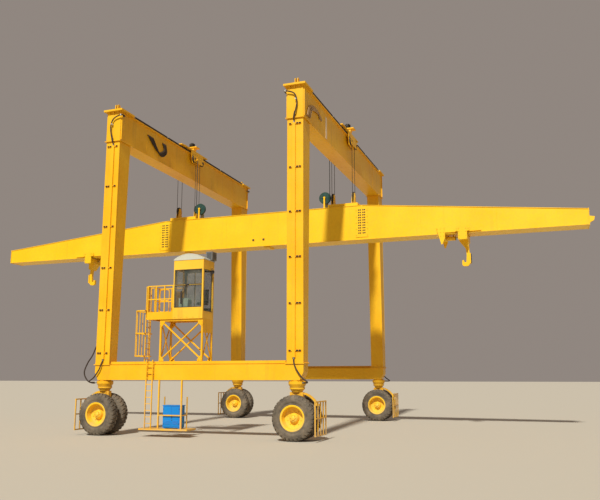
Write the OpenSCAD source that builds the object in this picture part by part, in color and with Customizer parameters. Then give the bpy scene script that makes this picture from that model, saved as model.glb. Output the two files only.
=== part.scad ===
/* [Portal frames] */
// distance between the two portal frames, centre to centre
portal_spacing = 9400; // [8600:100:10400]
// depth of the crane over the outer faces of its legs
span = 15200; // [14000:100:17000]
// width of a leg, and of the cross beam's webs on it
leg_width = 740; // [640:10:860]
// depth of a leg at its foot
leg_foot_depth = 600; // [540:10:700]
// depth of a leg at its head
leg_head_depth = 920; // [800:10:1100]
// height of the bolted joint between leg and cross beam
leg_joint_height = 13860; // [12800:20:14800]
// depth of the cross beam
beam_depth = 1480; // [1200:20:1700]
// overhang of the cross beam's top flange over its webs
flange_overhang = 80; // [40:5:120]
// underside of the sill beams
sill_bottom = 2440; // [2300:20:2600]
// depth of the sill beams
sill_depth = 670; // [560:10:800]

/* [Corners] */
// outer radius of a tyre
tyre_radius = 925; // [800:5:960]
// width of a tyre
tyre_width = 450; // [350:10:500]
// radius of the rim
rim_radius = 505; // [440:5:560]
// gap between the two tyres of a corner
tyre_gap = 330; // [300:10:400]
// radius of the axle
axle_radius = 90; // [60:5:110]
// thickness of the steering yoke's arm between the tyres
yoke_thickness = 220; // [160:10:230]
// diameter of the slewing flange under the sill
slew_diameter = 740; // [640:10:800]
// distance of the wheel guard from the middle of the corner
guard_offset = 990; // [980:5:1060]
// width of the wheel guard
guard_width = 1460; // [1300:10:1600]

/* [Spreader beam] */
// height of the spreader's underside
spreader_bottom = 9590; // [9200:10:9800]
// depth of the spreader's middle section
spreader_depth = 1850; // [1500:10:2000]
// depth of the spreader at its ends
spreader_end_depth = 780; // [600:10:1000]
// width of the spreader over its flanges
spreader_width = 1120; // [1000:10:1240]
// distance from the middle to the bolted splice
splice_offset = 5830; // [5700:10:6400]
// distance from the middle to the end plate
spreader_half = 16760; // [15000:20:18000]
// distance from the middle to the hook carriages
hook_offset = 10950; // [10000:10:12000]
// distance from the middle to the hook cylinder's bracket
stop_offset = 9870; // [9000:10:9900]

/* [Ropes and trolleys] */
// distance of a rope fall from the middle of the cross beam
rope_offset = 570; // [550:5:640]
// half of the distance between the two falls of one block
rope_half = 250; // [200:5:300]
// radius of a hoist rope
rope_radius = 14; // [8:1:20]
// radius of a trolley's sheaves
sheave_radius = 200; // [180:5:300]
// length of a trolley in front of the ropes
trolley_front = 1850; // [1500:10:2000]
// length of a trolley behind the ropes
trolley_back = 1250; // [1100:10:1500]
// radius on which the reel's cable is wound
reel_radius = 240; // [200:5:260]
// distance of a cable reel from the middle of the cross beam
reel_offset = 950; // [940:10:1200]

/* [Cab] */
// left side of the cab
cab_left = -1120; // [-1300:10:-1000]
// right side of the cab
cab_right = 370; // [250:10:500]
// depth of the cab
cab_depth = 1050; // [950:10:1200]
// height of the cab
cab_height = 2640; // [2400:10:2800]
// thickness of the cab's walls
cab_wall = 60; // [40:5:80]
// top of the access platform's deck
deck_top = 5460; // [5200:10:5700]
// depth of the deck's edge frame
deck_frame = 340; // [200:10:400]
// left edge of the access platform
platform_left = -2440; // [-2700:10:-2200]
// height of the railings
rail_height = 1200; // [1000:10:1300]

/* [Ladders and low platform] */
// middle of the caged ladder, behind the sill's outer face
ladder_setback = 375; // [360:5:385]
// width of the caged ladder
ladder_width = 420; // [380:10:430]
// radius of the ladder's safety cage
cage_radius = 400; // [350:10:420]
// left stringer of the lower ladder
lower_left = -2270; // [-2450:10:-2250]
// right stringer of the lower ladder
lower_right = -1960; // [-2100:10:-1950]
// top of the low platform's deck
low_deck = 360; // [340:10:600]
// left end of the low platform
low_left = -2560; // [-2800:10:-2500]
// right end of the low platform
low_right = -160; // [-300:10:200]
// left posts of the low platform
hanger_left = -1700; // [-1850:10:-1650]
// right posts of the low platform
hanger_right = -570; // [-600:10:-400]

/* [Hoses] */
// radius of the hydraulic hoses
hose_radius = 30; // [20:1:32]
// radius of the festoon hoses on the cross beams
festoon_radius = 25; // [15:1:30]

/* [Hidden] */
// a running joint rests this far from its seat
seat_gap = 0.3;
// radial clearance of a shaft in its bore
shaft_gap = 0.05;
px = portal_spacing / 2;
hy = span / 2;
half_leg = leg_width / 2;
wheel_y = hy - leg_foot_depth / 2;
sill_top = sill_bottom + sill_depth;
kerb_top = sill_top + 150;
beam_top = leg_joint_height + beam_depth;
slew_height = sill_bottom - 290;
spreader_top = spreader_bottom + spreader_depth;
end_top = spreader_bottom + spreader_end_depth;
half_sp = spreader_width / 2;
web_sp = half_sp - 25;
cab_front = -hy;
cab_back = -hy + cab_depth;
cab_floor = deck_top - deck_frame;
cab_top = cab_floor + cab_height;
cab_middle = (cab_left + cab_right) / 2;
roof_rise = 240;
roof_half = (cab_right - cab_left) / 2 + 20;
roof_radius = (roof_half * roof_half + roof_rise * roof_rise) / (2 * roof_rise);
ladder_x = platform_left - 150;
ladder_y = -hy + ladder_setback;
half_ladder = ladder_width / 2;
tower_left = cab_left - 620;
tower_right = cab_right - 40;
tower_front = -hy + 100;
tower_back = cab_back - 50;
block_sheave = rope_half - rope_radius - seat_gap;
block_rise = 620;
block_height = spreader_top + block_rise;
sheave_height = beam_top - 300;
cable_top = sheave_height - 60;
reel_x = px - reel_offset;
reel_line = reel_x + reel_radius + 20;
reel_rise = 600;
reel_height = spreader_top + reel_rise;
cylinder_height = spreader_bottom - 150;
yellow = [0.93, 0.62, 0.1];
dark = [0.13, 0.14, 0.15];
grey = [0.45, 0.47, 0.48];
white = [0.86, 0.87, 0.85];

module box(x0, x1, y0, y1, z0, z1) {
    translate([x0, y0, z0]) cube([x1 - x0, y1 - y0, z1 - z0]);
}

// outline in Y and Z, drawn out along X
module prism_x(x0, x1, yz) {
    translate([x0, 0, 0]) rotate([90, 0, 90]) linear_extrude(x1 - x0) polygon(yz);
}

// outline in X and Z, drawn out along Y
module prism_y(y0, y1, xz) {
    translate([0, y1, 0]) rotate([90, 0, 0]) linear_extrude(y1 - y0) polygon(xz);
}

module disc_y(x, y0, y1, z, r) {
    translate([x, y1, z]) rotate([90, 0, 0]) cylinder(h = y1 - y0, r = r, $fn = 32);
}

module disc_x(x0, x1, y, z, r) {
    translate([x0, y, z]) rotate([0, 90, 0]) cylinder(h = x1 - x0, r = r, $fn = 32);
}

// straight bar of six sides between two points
module bar(p, q, d) {
    v = q - p;
    length = norm(v);
    translate(p) rotate([0, acos(v[2] / length), atan2(v[1], v[0])])
        cylinder(h = length, d = d, $fn = 6);
}

// the same piece on all four corners
module on_corners() {
    for (sx = [0, 1])
        for (sy = [0, 1])
            mirror([sx, 0, 0]) mirror([0, sy, 0]) children();
}

// the same piece on both sides of the middle, left and right
module on_both_ends() {
    children();
    mirror([1, 0, 0]) children();
}

// the same piece on the near and the far side
module on_both_sides() {
    children();
    mirror([0, 1, 0]) children();
}

// legs: upright outer face, inner face leaning so that the leg is deeper at its head
module legs() {
    color(yellow) on_corners()
        prism_x(px - half_leg, px + half_leg,
            [[hy - leg_foot_depth, sill_top + 40], [hy, sill_top + 40],
             [hy, leg_joint_height - 40], [hy - leg_head_depth, leg_joint_height - 40]]);
}

// bolted flanges at the leg's head and foot, standing proud of the plates they join
module leg_flanges() {
    proud = 70;
    low_proud = 50;
    color(yellow) on_corners() {
        box(px - half_leg - proud, px + half_leg + proud,
            hy - leg_head_depth - proud, hy + proud, leg_joint_height - 40, leg_joint_height);
        box(px - half_leg - low_proud, px + half_leg + low_proud,
            hy - leg_foot_depth - low_proud, hy + low_proud, sill_top, sill_top + 40);
    }
}

// cross beams: box girders with overhanging flanges, from leg head to leg head
module cross_beams() {
    wide = half_leg + flange_overhang;
    color(yellow) on_both_ends() {
        box(px - half_leg, px + half_leg, -hy, hy, leg_joint_height, beam_top);
        box(px - wide, px + wide, -hy, hy, beam_top - 45, beam_top);
        box(px - half_leg - 35, px + half_leg + 35,
            -hy + leg_head_depth + 75, hy - leg_head_depth - 75, leg_joint_height - 35, leg_joint_height + 5);
        for (y = [-1, 1] * (hy - 60))
            box(px - wide + 20, px + wide - 20, y - 20, y + 20, leg_joint_height + 60, beam_top - 45);
    }
}

// cap plate on each beam end, with two lifting lugs
module cap_lugs() {
    proud = 150;
    cap = 90;
    lug_y = hy - 250;
    eye = beam_top + cap + 260;
    color(yellow) on_corners() {
        box(px - half_leg - proud, px + half_leg + proud, hy - leg_head_depth - 60, hy + proud,
            beam_top, beam_top + cap);
        for (x = [px - 60, px + 60])
            difference() {
                union() {
                    box(x - 20, x + 20, lug_y - 110, lug_y + 110, beam_top + cap, eye);
                    disc_x(x - 20, x + 20, lug_y, eye, 110);
                }
                disc_x(x - 30, x + 30, lug_y, eye, 45);
            }
    }
}

// sill beams under the legs: chamfered ends, and a kerb set back a little from the outer face
module sills() {
    end = px + half_leg;
    run = px - half_leg - 60;
    color(yellow) on_both_sides() {
        prism_y(hy - leg_foot_depth, hy,
            [[-end, sill_top], [-end, sill_bottom + 330], [-end + 160, sill_bottom],
             [end - 160, sill_bottom], [end, sill_bottom + 330], [end, sill_top]]);
        box(-run, run, hy - 140, hy - 95, sill_top, sill_top + 25);
        box(-run, run, hy - 140, hy - 60, sill_top + 25, kerb_top);
    }
}

// fixed upper half of each slewing ring
module slew_flanges() {
    color(yellow) on_corners() translate([px, wheel_y, 0]) {
        translate([0, 0, slew_height + 130]) cylinder(h = 110, d = slew_diameter, $fn = 40);
        translate([0, 0, slew_height + 240]) cylinder(h = 50, d = slew_diameter - 160, $fn = 40);
        translate([0, 0, slew_height])
            cylinder(h = 130, d1 = slew_diameter - 150, d2 = slew_diameter, $fn = 40);
    }
}

// duct down the outer face of each leg, lying in brackets that reach across the face
duct_low = kerb_top + 120;
duct_high = leg_joint_height - 260;
duct_middle = px - 40;
duct_depth = 80;
module leg_ducts() {
    pitch = (duct_high - duct_low - 310) / 5;
    color(yellow) on_corners() {
        box(duct_middle - 70, duct_middle + 70, hy, hy + duct_depth, duct_low, duct_high);
        for (i = [0:5]) {
            z = duct_low + 250 + i * pitch;
            box(px - 280, px + 290, hy, hy + 40, z, z + 60);
        }
    }
}

// trolley cable clipped along the right edge of each cross beam's top flange
module beam_fittings() {
    edge = half_leg + 60;
    end = hy - leg_head_depth - 130;
    color(grey) for (x = [-px + edge, px + edge]) {
        translate([x, end, beam_top + 25]) rotate([90, 0, 0])
            cylinder(h = 2 * end, r = 14, $fn = 8);
        for (i = [-2:2])
            box(x - 18, x + 18, i * end / 2 - 30 * (1 + i / 2), i * end / 2 + 30 * (1 - i / 2),
                beam_top, beam_top + 50);
    }
}

// window and door openings of the cab
window_low = cab_floor + 530;
window_bar = cab_floor + 1520;
window_high = cab_floor + 2190;
side_low = cab_floor + 360;
door_low = cab_floor + deck_frame;
door_high = door_low + 1950;
module front_window(y0, y1, low, high) {
    box(cab_left + 70, cab_right - 90, y0, y1, low, high);
}

module right_window(x0, x1) {
    box(x0, x1, cab_front + 110, cab_back - 110, side_low, window_high);
}

module rear_window(y0, y1, i) {
    width = (cab_right - cab_left - 2 * 110) / 3;
    x = cab_left + 110 + i * width;
    box(x + 15, x + width - 15, y0, y1, window_low, window_high);
}

module doorway(x0, x1) {
    box(x0, x1, cab_front + 150, cab_back - 150, door_low, door_high);
}

// operator's cab: hollow box with a floor, a window on three sides and a doorway on the left
module cab_shell() {
    w = cab_wall;
    color(yellow) difference() {
        box(cab_left, cab_right, cab_front, cab_back, cab_floor, cab_top);
        box(cab_left + w, cab_right - w, cab_front + w, cab_back - w, door_low, cab_top - w);
        front_window(cab_front - 50, cab_front + w + 50, window_low, window_bar - 30);
        front_window(cab_front - 50, cab_front + w + 50, window_bar + 30, window_high);
        right_window(cab_right - w - 50, cab_right + 50);
        for (i = [0:2])
            rear_window(cab_back - w - 50, cab_back + 50, i);
        doorway(cab_left - 50, cab_left + w + 50);
    }
}

// one pane in each window
module cab_glass() {
    set_back = 22;
    glass = 12;
    color([0.25, 0.33, 0.33, 0.5]) {
        front_window(cab_front + set_back, cab_front + set_back + glass, window_low, window_bar - 30);
        front_window(cab_front + set_back, cab_front + set_back + glass, window_bar + 30, window_high);
        difference() {
            right_window(cab_right - set_back - glass, cab_right - set_back);
            box(cab_left, cab_right, cab_front, cab_back, cab_floor, door_low);
        }
        for (i = [0:2])
            rear_window(cab_back - set_back - glass, cab_back - set_back, i);
    }
}

// door leaf with a window, closed in the doorway on the platform side
module cab_door() {
    x = cab_left + 10;
    color(yellow) difference() {
        doorway(x, x + 40);
        box(x - 10, x + 50, cab_front + 240, cab_back - 240, door_low + 950, door_high - 90);
    }
}

// white curved roof cover
module roof_cylinder() {
    translate([cab_middle, cab_back + 100, cab_top + 40 + roof_rise - roof_radius])
        rotate([90, 0, 0]) cylinder(h = cab_depth + 200, r = roof_radius, $fn = 64);
}

module cab_roof() {
    color(white) intersection() {
        box(cab_middle - roof_half, cab_middle + roof_half, cab_front - 20, cab_back + 20,
            cab_top, cab_top + roof_rise + 40);
        roof_cylinder();
    }
}

// grey unit on the roof's right end
module roof_unit() {
    color(grey) difference() {
        box(cab_right - 220, cab_right + 100, cab_back - 420, cab_back + 20,
            cab_top + 60, cab_top + roof_rise + 200);
        roof_cylinder();
    }
}

// operator's seat
module seat() {
    x = cab_right - 640;
    y = cab_back - 520;
    color(dark) {
        translate([x + 230, y + 200, door_low]) cylinder(h = 330, r = 90, $fn = 24);
        box(x, x + 460, y, y + 400, door_low + 330, door_low + 450);
        prism_x(x, x + 460,
            [[y + 330, door_low + 450], [y + 400, door_low + 450],
             [y + 450, door_low + 1080], [y + 370, door_low + 1080]]);
    }
}

// control console in front of the left window
module console() {
    x = cab_left + 220;
    color([0.6, 0.68, 0.6])
        prism_y(cab_front + 130, cab_front + 480,
            [[x, door_low], [x + 420, door_low], [x + 480, door_low + 520], [x + 420, door_low + 600],
             [x, door_low + 600]]);
}

// crossed braces between two posts of the tower, in the X-Z plane and in the Y-Z plane
module braces_xz(y, x0, x1, z0, z1, d) {
    bar([x0, y, z0], [x1, y, z1], d);
    bar([x0, y, z1], [x1, y, z0], d);
}

module braces_yz(x, y0, y1, z0, z1, d) {
    bar([x, y0, z0], [x, y1, z1], d);
    bar([x, y0, z1], [x, y1, z0], d);
}

// braced tower that carries the cab and platform; its back posts stand on brackets off the sill
module tower() {
    sill_back = -hy + leg_foot_depth;
    color(yellow) {
        for (x = [tower_left, tower_right]) {
            box(x - 40, x + 40, tower_front - 40, tower_front + 40, kerb_top, cab_floor);
            box(x - 40, x + 40, tower_back - 40, tower_back + 40, sill_top - 120, cab_floor);
            box(x - 40, x + 40, sill_back, tower_back - 40, sill_top - 120, sill_top);
            prism_x(x - 15, x + 15,
                [[sill_back, sill_top - 520], [tower_back - 60, sill_top - 120],
                 [sill_back, sill_top - 120]]);
            box(x - 40, x + 40, tower_front + 40, tower_back - 40, cab_floor - 90, cab_floor);
        }
        for (y = [tower_front, tower_back]) {
            braces_xz(y, tower_left, tower_right, kerb_top + 50, cab_floor - 60, 80);
            box(tower_left + 40, tower_right - 40, y - 40, y + 40, cab_floor - 90, cab_floor);
        }
        for (x = [tower_left, tower_right])
            braces_yz(x, tower_front, tower_back, kerb_top + 50, cab_floor - 60, 60);
        box(tower_right + 20, tower_right + 40, tower_front + 40, tower_back - 40,
            cab_floor - 620, cab_floor - 90);
    }
}

// access platform: deck plate on a deep edge frame, left of the cab
module platform() {
    color(yellow) {
        box(platform_left, cab_left, -hy, cab_back, deck_top - 50, deck_top);
        for (y = [-hy, cab_back - 60])
            box(platform_left, cab_left, y, y + 60, cab_floor, deck_top - 50);
        box(platform_left, platform_left + 60, -hy + 60, cab_back - 60, cab_floor, deck_top - 50);
    }
}

module rail_along_x(x0, x1, y, z, gaps) {
    for (h = [rail_height / 2, rail_height])
        box(x0, x1, y - 22, y + 22, z + h - 44, z + h);
    for (i = [0:gaps]) {
        x = x0 + i * (x1 - x0 - 44) / gaps;
        box(x, x + 44, y - 22, y + 22, z, z + rail_height - 20);
    }
}

module rail_along_y(x, y0, y1, z, gaps) {
    for (h = [rail_height / 2, rail_height])
        box(x - 22, x + 22, y0, y1, z + h - 44, z + h);
    for (i = [0:gaps]) {
        y = y0 + i * (y1 - y0 - 44) / gaps;
        box(x - 22, x + 22, y, y + 44, z, z + rail_height - 20);
    }
}

// railing round the platform, open on the left where the ladder arrives
module railing() {
    color(yellow) {
        rail_along_x(platform_left, cab_left, -hy + 22, deck_top, 3);
        rail_along_x(platform_left, cab_left, cab_back - 22, deck_top, 2);
        rail_along_y(platform_left + 22, -hy + 44, ladder_y - half_ladder, deck_top, 1);
        rail_along_y(platform_left + 22, ladder_y + half_ladder, cab_back - 44, deck_top, 1);
    }
}

// the same piece on both stringers of the caged ladder
module on_ladder_sides() {
    for (side = [0, 1])
        translate([ladder_x, ladder_y, 0]) mirror([0, side, 0]) children();
}

// one hoop of the cage: a ring of twelve sides, open towards the ladder and tied to its stringers
module cage_hoop(z) {
    translate([ladder_x - 190, ladder_y, z]) difference() {
        cylinder(h = 50, r = cage_radius, $fn = 12);
        translate([0, 0, -10]) cylinder(h = 70, r = cage_radius - 30, $fn = 12);
        box(210, 600, -500, 500, -10, 60);
    }
    on_ladder_sides() box(-20, 20, half_ladder - 10, cage_radius - 55, z, z + 50);
}

// caged ladder from the sill to the platform's left end
module caged_ladder() {
    top = deck_top + rail_height;
    hoops = [deck_top + 60, deck_top - 960, deck_top - 1980];
    color(yellow) {
        on_ladder_sides() {
            box(-20, 20, half_ladder - 40, half_ladder, sill_top, top);
            for (z = [cab_floor + 60, top - 44])
                box(20, 150, half_ladder - 40, half_ladder, z, z + 44);
        }
        for (z = [sill_top + 240 : 240 : deck_top - 60])
            box(ladder_x - 12, ladder_x + 12,
                ladder_y - half_ladder + 30, ladder_y + half_ladder - 30, z, z + 26);
        for (z = hoops)
            cage_hoop(z);
        for (a = [90 : 45 : 270])
            translate([ladder_x - 190, ladder_y, 0]) rotate([0, 0, a])
                box(cage_radius - 35, cage_radius - 5, -15, 15, hoops[2], hoops[0] + 50);
    }
}

// plain ladder in front of the sill, down to the low platform
module lower_ladder() {
    color(yellow) {
        for (x = [lower_left, lower_right]) {
            box(x - 20, x + 20, -hy - 160, -hy - 110, low_deck, kerb_top + 60);
            for (z = [sill_bottom + 160, kerb_top - 60])
                box(x - 20, x + 20, -hy - 110, -hy, z, z + 50);
        }
        for (z = [low_deck + 200 : 280 : kerb_top])
            box(lower_left + 20, lower_right - 20, -hy - 150, -hy - 120, z, z + 30);
    }
}

// low platform hung under the sill on two posts, with guard rails and short posts behind
module low_platform() {
    front = -hy - 160;
    back = -hy + leg_foot_depth;
    color(yellow) {
        box(low_left, low_right, front, back + 60, low_deck - 70, low_deck);
        for (x = [hanger_left, hanger_right]) {
            box(x - 32, x + 32, -hy + 10, -hy + 74, low_deck, sill_bottom);
            box(x - 22, x + 22, back - 64, back - 20, low_deck, low_deck + 1350);
        }
        box(hanger_left + 32, hanger_right - 32, -hy + 20, -hy + 64, low_deck + 540, low_deck + 590);
        box(hanger_left + 22, hanger_right - 22, back - 64, back - 20, low_deck + 540, low_deck + 590);
        for (x = [hanger_left, hanger_right])
            box(x - 22, x + 22, -hy + 74, back - 64, low_deck + 540, low_deck + 590);
    }
}

// blue equipment cabinet on the low platform
module blue_box() {
    color([0.12, 0.3, 0.6]) {
        box(hanger_left + 200, hanger_right - 80, -hy + 100, -hy + 500, low_deck + 40, low_deck + 970);
        box(hanger_left + 170, hanger_right - 50, -hy + 80, -hy + 515, low_deck + 970, low_deck + 1000);
        for (x = [hanger_left + 240, hanger_right - 190])
            box(x, x + 70, -hy + 120, -hy + 480, low_deck, low_deck + 40);
    }
}

function unit(v) = v / norm(v);
function square_to(u, along) = unit(u - (u * along) * along);

// hose of eight sides along a route, its ends cut square
module hose(route, r) {
    n = len(route);
    along = [for (i = [0 : n - 1]) unit(route[min(i + 1, n - 1)] - route[max(i - 1, 0)])];
    side = [for (i = 0, u = square_to([0.3, 0.5, 0.8], along[0]); i < n;
        i = i + 1, u = i < n ? square_to(u, along[i]) : u) u];
    points = [for (i = [0 : n - 1]) for (k = [0 : 7])
        route[i] + r * (cos(45 * k) * side[i] + sin(45 * k) * cross(along[i], side[i]))];
    wall = [for (i = [0 : n - 2]) for (k = [0 : 7])
        let (a = 8 * i + k, b = 8 * i + (k + 1) % 8) each [[a + 8, b + 8, b], [a + 8, b, a]]];
    polyhedron(points, concat([[for (k = [0 : 7]) k]], [[for (k = [7 : -1 : 0]) 8 * (n - 1) + k]], wall));
}

// point beside the slewing ring, square to its edge, seen from the leg's outer face
function beside_ring(angle, reach) = let (r = slew_diameter / 2 + reach)
    [r * cos(angle), wheel_y - hy + r * sin(angle), slew_height + 185];

// round the leg's head, over its flange and down into the duct
head_port = beam_top - 230;
head_route = [[-half_leg, -150, head_port], [-half_leg - 120, -150, head_port],
    [-half_leg - 70, 100, head_port], [-20, 95, beam_top - 390], [115, 105, beam_top - 840],
    [-25, 118, leg_joint_height - 45], [duct_middle - px, duct_depth / 2, duct_high + 100],
    [duct_middle - px, duct_depth / 2, duct_high]];
// out of the duct, over the foot flange and round to the slewing ring
foot_route = [[duct_middle - px, duct_depth / 2, duct_low],
    [duct_middle - px, duct_depth / 2, duct_low - 80], [-10, 100, sill_top + 50],
    [90, 100, sill_top - 210], [340, 105, sill_bottom + 120],
    [slew_diameter / 2 + 220, 110, slew_height + 210], beside_ring(35, 100), beside_ring(35, seat_gap)];
// wide loop from the side of the near left leg to its slewing ring
loop_port = sill_top + 890;
loop_route = [[half_leg, -150, loop_port], [half_leg + 80, -150, loop_port],
    [half_leg + 280, -140, sill_top + 450], [half_leg + 520, -120, sill_top + 80],
    [half_leg + 660, -110, sill_top - 350], [half_leg + 460, -130, sill_bottom - 40],
    [half_leg + 190, -200, slew_height + 150], beside_ring(10, 90), beside_ring(10, seat_gap)];
// festoon loops on the webs, measured from the beam's near top corner: out, along the beam and back
festoon_left = [[0, 2660, -440], [45, 2660, -440], [45, 3100, -780], [45, 3640, -1030],
    [45, 4160, -750], [45, 4040, -420], [0, 4040, -420]];
festoon_right = [[0, 650, -1240], [45, 650, -1240], [45, 900, -780], [45, 1500, -540],
    [45, 2100, -560], [45, 2390, -800], [0, 2390, -800]];

// hydraulic hoses of the corners and the festoon loops on the cross beams
module hoses() {
    corner = [px, hy, 0];
    color(dark) {
        on_corners() {
            hose([for (p = head_route) p + corner], hose_radius);
            hose([for (p = foot_route) p + corner], hose_radius);
        }
        mirror([1, 0, 0]) mirror([0, 1, 0]) hose([for (p = loop_route) p + corner], hose_radius);
        hose([for (p = festoon_left) p + [-px + half_leg, -hy, beam_top]], festoon_radius);
        hose([for (p = festoon_right) p + [px + half_leg, -hy, beam_top]], festoon_radius);
    }
}

// height of the motor's stand over the beam, and the two ends of the cover on the trolley's deck
stand_rise = 680;
cover_front = 1350;
cover_back = 620;

// trolley on each cross beam: deck on four wheels, plates down both sides, a motor stand on top
module trolley_frames() {
    deck = beam_top + 145;
    deck_high = deck + 60;
    stand = beam_top + stand_rise;
    wheel = 65;
    plate_in = half_leg + flange_overhang + 20;
    plate_out = rope_offset - 35;
    reach = sheave_line + sheave_radius + 55;
    color(yellow) on_both_ends() {
        box(px - plate_out, px + plate_out, -trolley_front, trolley_back, deck, deck_high);
        prism_x(px - 380, px + 380,
            [[-cover_front, deck_high], [-cover_front + 70, deck_high + 130],
             [-cover_back, deck_high + 130], [-cover_back, deck_high]]);
        for (s = [0, 1]) translate([px, 0, 0]) mirror([s, 0, 0]) {
            prism_x(plate_in, plate_out,
                [[-reach, deck], [-reach, beam_top - 60], [-reach + 180, beam_top - 540],
                 [reach - 180, beam_top - 540], [reach, beam_top - 60], [reach, deck]]);
            prism_x(rope_offset + 35, rope_offset + 60,
                [[-reach + 80, sheave_height + 190], [-reach + 260, sheave_height - 190],
                 [reach - 260, sheave_height - 190], [reach - 80, sheave_height + 190]]);
            for (y = [-sheave_line, sheave_line])
                disc_x(plate_out, rope_offset + 60, y, sheave_height, 45 - shaft_gap);
            for (y = [-trolley_front + 350, trolley_back - 350]) {
                disc_x(240, 360, y, beam_top + wheel + seat_gap, wheel);
                box(200, 235, y - 80, y + 80, beam_top + 40, deck);
                box(365, 400, y - 80, y + 80, beam_top + 40, deck);
                disc_x(200, 400, y, beam_top + wheel + seat_gap, 25);
            }
        }
        prism_y(350, 650,
            [[px + 40, deck_high], [px + 220, deck_high], [px + 380, stand], [px - 120, stand]]);
        box(px - 270, px + 530, 300, 750, stand, stand + 60);
        box(reel_line - 30, px - rope_offset - 60, -300, -220, cable_top, sheave_height);
    }
}

// rope sheaves on the trolley, grooved, two on each side of the beam
sheave_line = rope_half + rope_radius + seat_gap + sheave_radius;
module grooved_sheave(radius, half) {
    rotate([0, 90, 0]) rotate_extrude($fn = 32)
        polygon([[0, -half], [radius + 25, -half], [radius + 25, -half + 8], [radius, -half + 18],
            [radius, half - 18], [radius + 25, half - 8], [radius + 25, half], [0, half]]);
}

module trolley_sheaves() {
    color(dark) on_both_ends()
        for (x = [px - rope_offset, px + rope_offset])
            for (y = [-sheave_line, sheave_line])
                translate([x, y, sheave_height]) difference() {
                    grooved_sheave(sheave_radius, 34);
                    rotate([0, 90, 0]) cylinder(h = 100, r = 45, center = true, $fn = 32);
                }
}

// round drive motor on top of each trolley
module trolley_motors() {
    color(dark) on_both_ends() {
        translate([px + 130, 525, beam_top + 740]) cylinder(h = 60, r = 110, $fn = 32);
        translate([px + 130, 525, beam_top + 800]) cylinder(h = 170, r = 150, $fn = 32);
        translate([px + 130, 525, beam_top + 970]) cylinder(h = 60, r1 = 150, r2 = 80, $fn = 32);
    }
}

// hoist rope falls from the trolley's sheaves down to the spreader's blocks
module hoist_ropes() {
    color(dark) on_both_ends()
        for (x = [px - rope_offset, px + rope_offset])
            for (y = [-rope_half, rope_half])
                translate([x, y, block_height])
                    cylinder(h = sheave_height - block_height, r = rope_radius, $fn = 8);
}

// supply cable from each reel up to the trolley
module reel_cables() {
    color(dark) on_both_ends()
        translate([reel_line, -260, reel_height])
            cylinder(h = cable_top - reel_height, r = 20, $fn = 8);
}

// spreader's middle section: box girder of constant depth with proud flanges
module spreader_middle() {
    x = splice_offset - 40;
    color(yellow) {
        box(-x, x, -web_sp, web_sp, spreader_bottom, spreader_top);
        box(-x, x, -half_sp, half_sp, spreader_top - 30, spreader_top);
        box(-x, x, -half_sp, half_sp, spreader_bottom, spreader_bottom + 30);
        for (side = [-300, 300])
            box(side - 60, side + 60, -web_sp - 25, -web_sp, spreader_bottom + 330, spreader_bottom + 430);
        for (x1 = [-4600, 300, 2000])
            box(x1, x1 + 260, -400, 400, spreader_bottom - 60, spreader_bottom);
    }
}

// height of an end section's sloping top
function top_at(x) = spreader_top
    + (end_top - spreader_top) * (x - splice_offset) / (spreader_half - splice_offset);

// spreader's end sections: top sloping down to the end plate, a nose beyond it
module spreader_ends() {
    x0 = splice_offset + 40;
    t0 = top_at(x0);
    color(yellow) on_both_ends() {
        prism_y(-web_sp, web_sp,
            [[x0, spreader_bottom], [spreader_half, spreader_bottom], [spreader_half, end_top], [x0, t0]]);
        prism_y(-half_sp, half_sp,
            [[x0, t0 - 30], [spreader_half, end_top - 30], [spreader_half, end_top], [x0, t0]]);
        box(x0, spreader_half, -half_sp, half_sp, spreader_bottom, spreader_bottom + 30);
        box(spreader_half, spreader_half + 30, -half_sp, half_sp, spreader_bottom - 20, end_top + 20);
        prism_y(-90, 90,
            [[spreader_half + 30, spreader_bottom + 180], [spreader_half + 250, spreader_bottom + 300],
             [spreader_half + 290, spreader_bottom + 470], [spreader_half + 30, spreader_bottom + 520]]);
    }
}

// splice plates over the joint, on both webs and on the top flange
module splices() {
    reach = 330;
    color(yellow) on_both_ends() on_both_sides() {
        box(splice_offset - reach, splice_offset + reach, web_sp, web_sp + 25,
            spreader_bottom + 130, spreader_top - 200);
        box(splice_offset - 40, splice_offset + 40, 0, web_sp, spreader_bottom, top_at(splice_offset + 40));
    }
}

// reach of the raised platform towards the cable reel, and half of its width
base_reach = 740;
base_half = 440;

// raised platform on the spreader, and the cheeks of a rope block on each side of the beam
module rope_blocks() {
    base = spreader_top + 180;
    color(yellow) on_both_ends() {
        box(px - base_reach, px + rope_offset + 320, -base_half, base_half, spreader_top, base);
        for (x = [px - rope_offset, px + rope_offset])
            for (s = [-1, 1])
                prism_x(x + s * 62 - 12, x + s * 62 + 12,
                    [[-230, base], [230, base], [110, block_height + 180], [-110, block_height + 180]]);
        for (x = [px - rope_offset, px + rope_offset])
            disc_x(x - 90, x + 90, 0, block_height, 45 - shaft_gap);
    }
}

// sheaves in the spreader's rope blocks
module block_sheaves() {
    color(dark) on_both_ends()
        for (x = [px - rope_offset, px + rope_offset])
            translate([x, 0, block_height]) difference() {
                grooved_sheave(block_sheave, 34);
                rotate([0, 90, 0]) cylinder(h = 100, r = 45, center = true, $fn = 32);
            }
}

// stand of each cable reel
module reel_stands() {
    color(grey) on_both_ends() {
        box(reel_x - 130, reel_x + 130, -160, 100, spreader_top, spreader_top + 60);
        prism_y(-40, 40,
            [[reel_x - 110, spreader_top + 60], [reel_x + 110, spreader_top + 60],
             [reel_x + 60, reel_height + 80], [reel_x - 60, reel_height + 80]]);
    }
}

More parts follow.
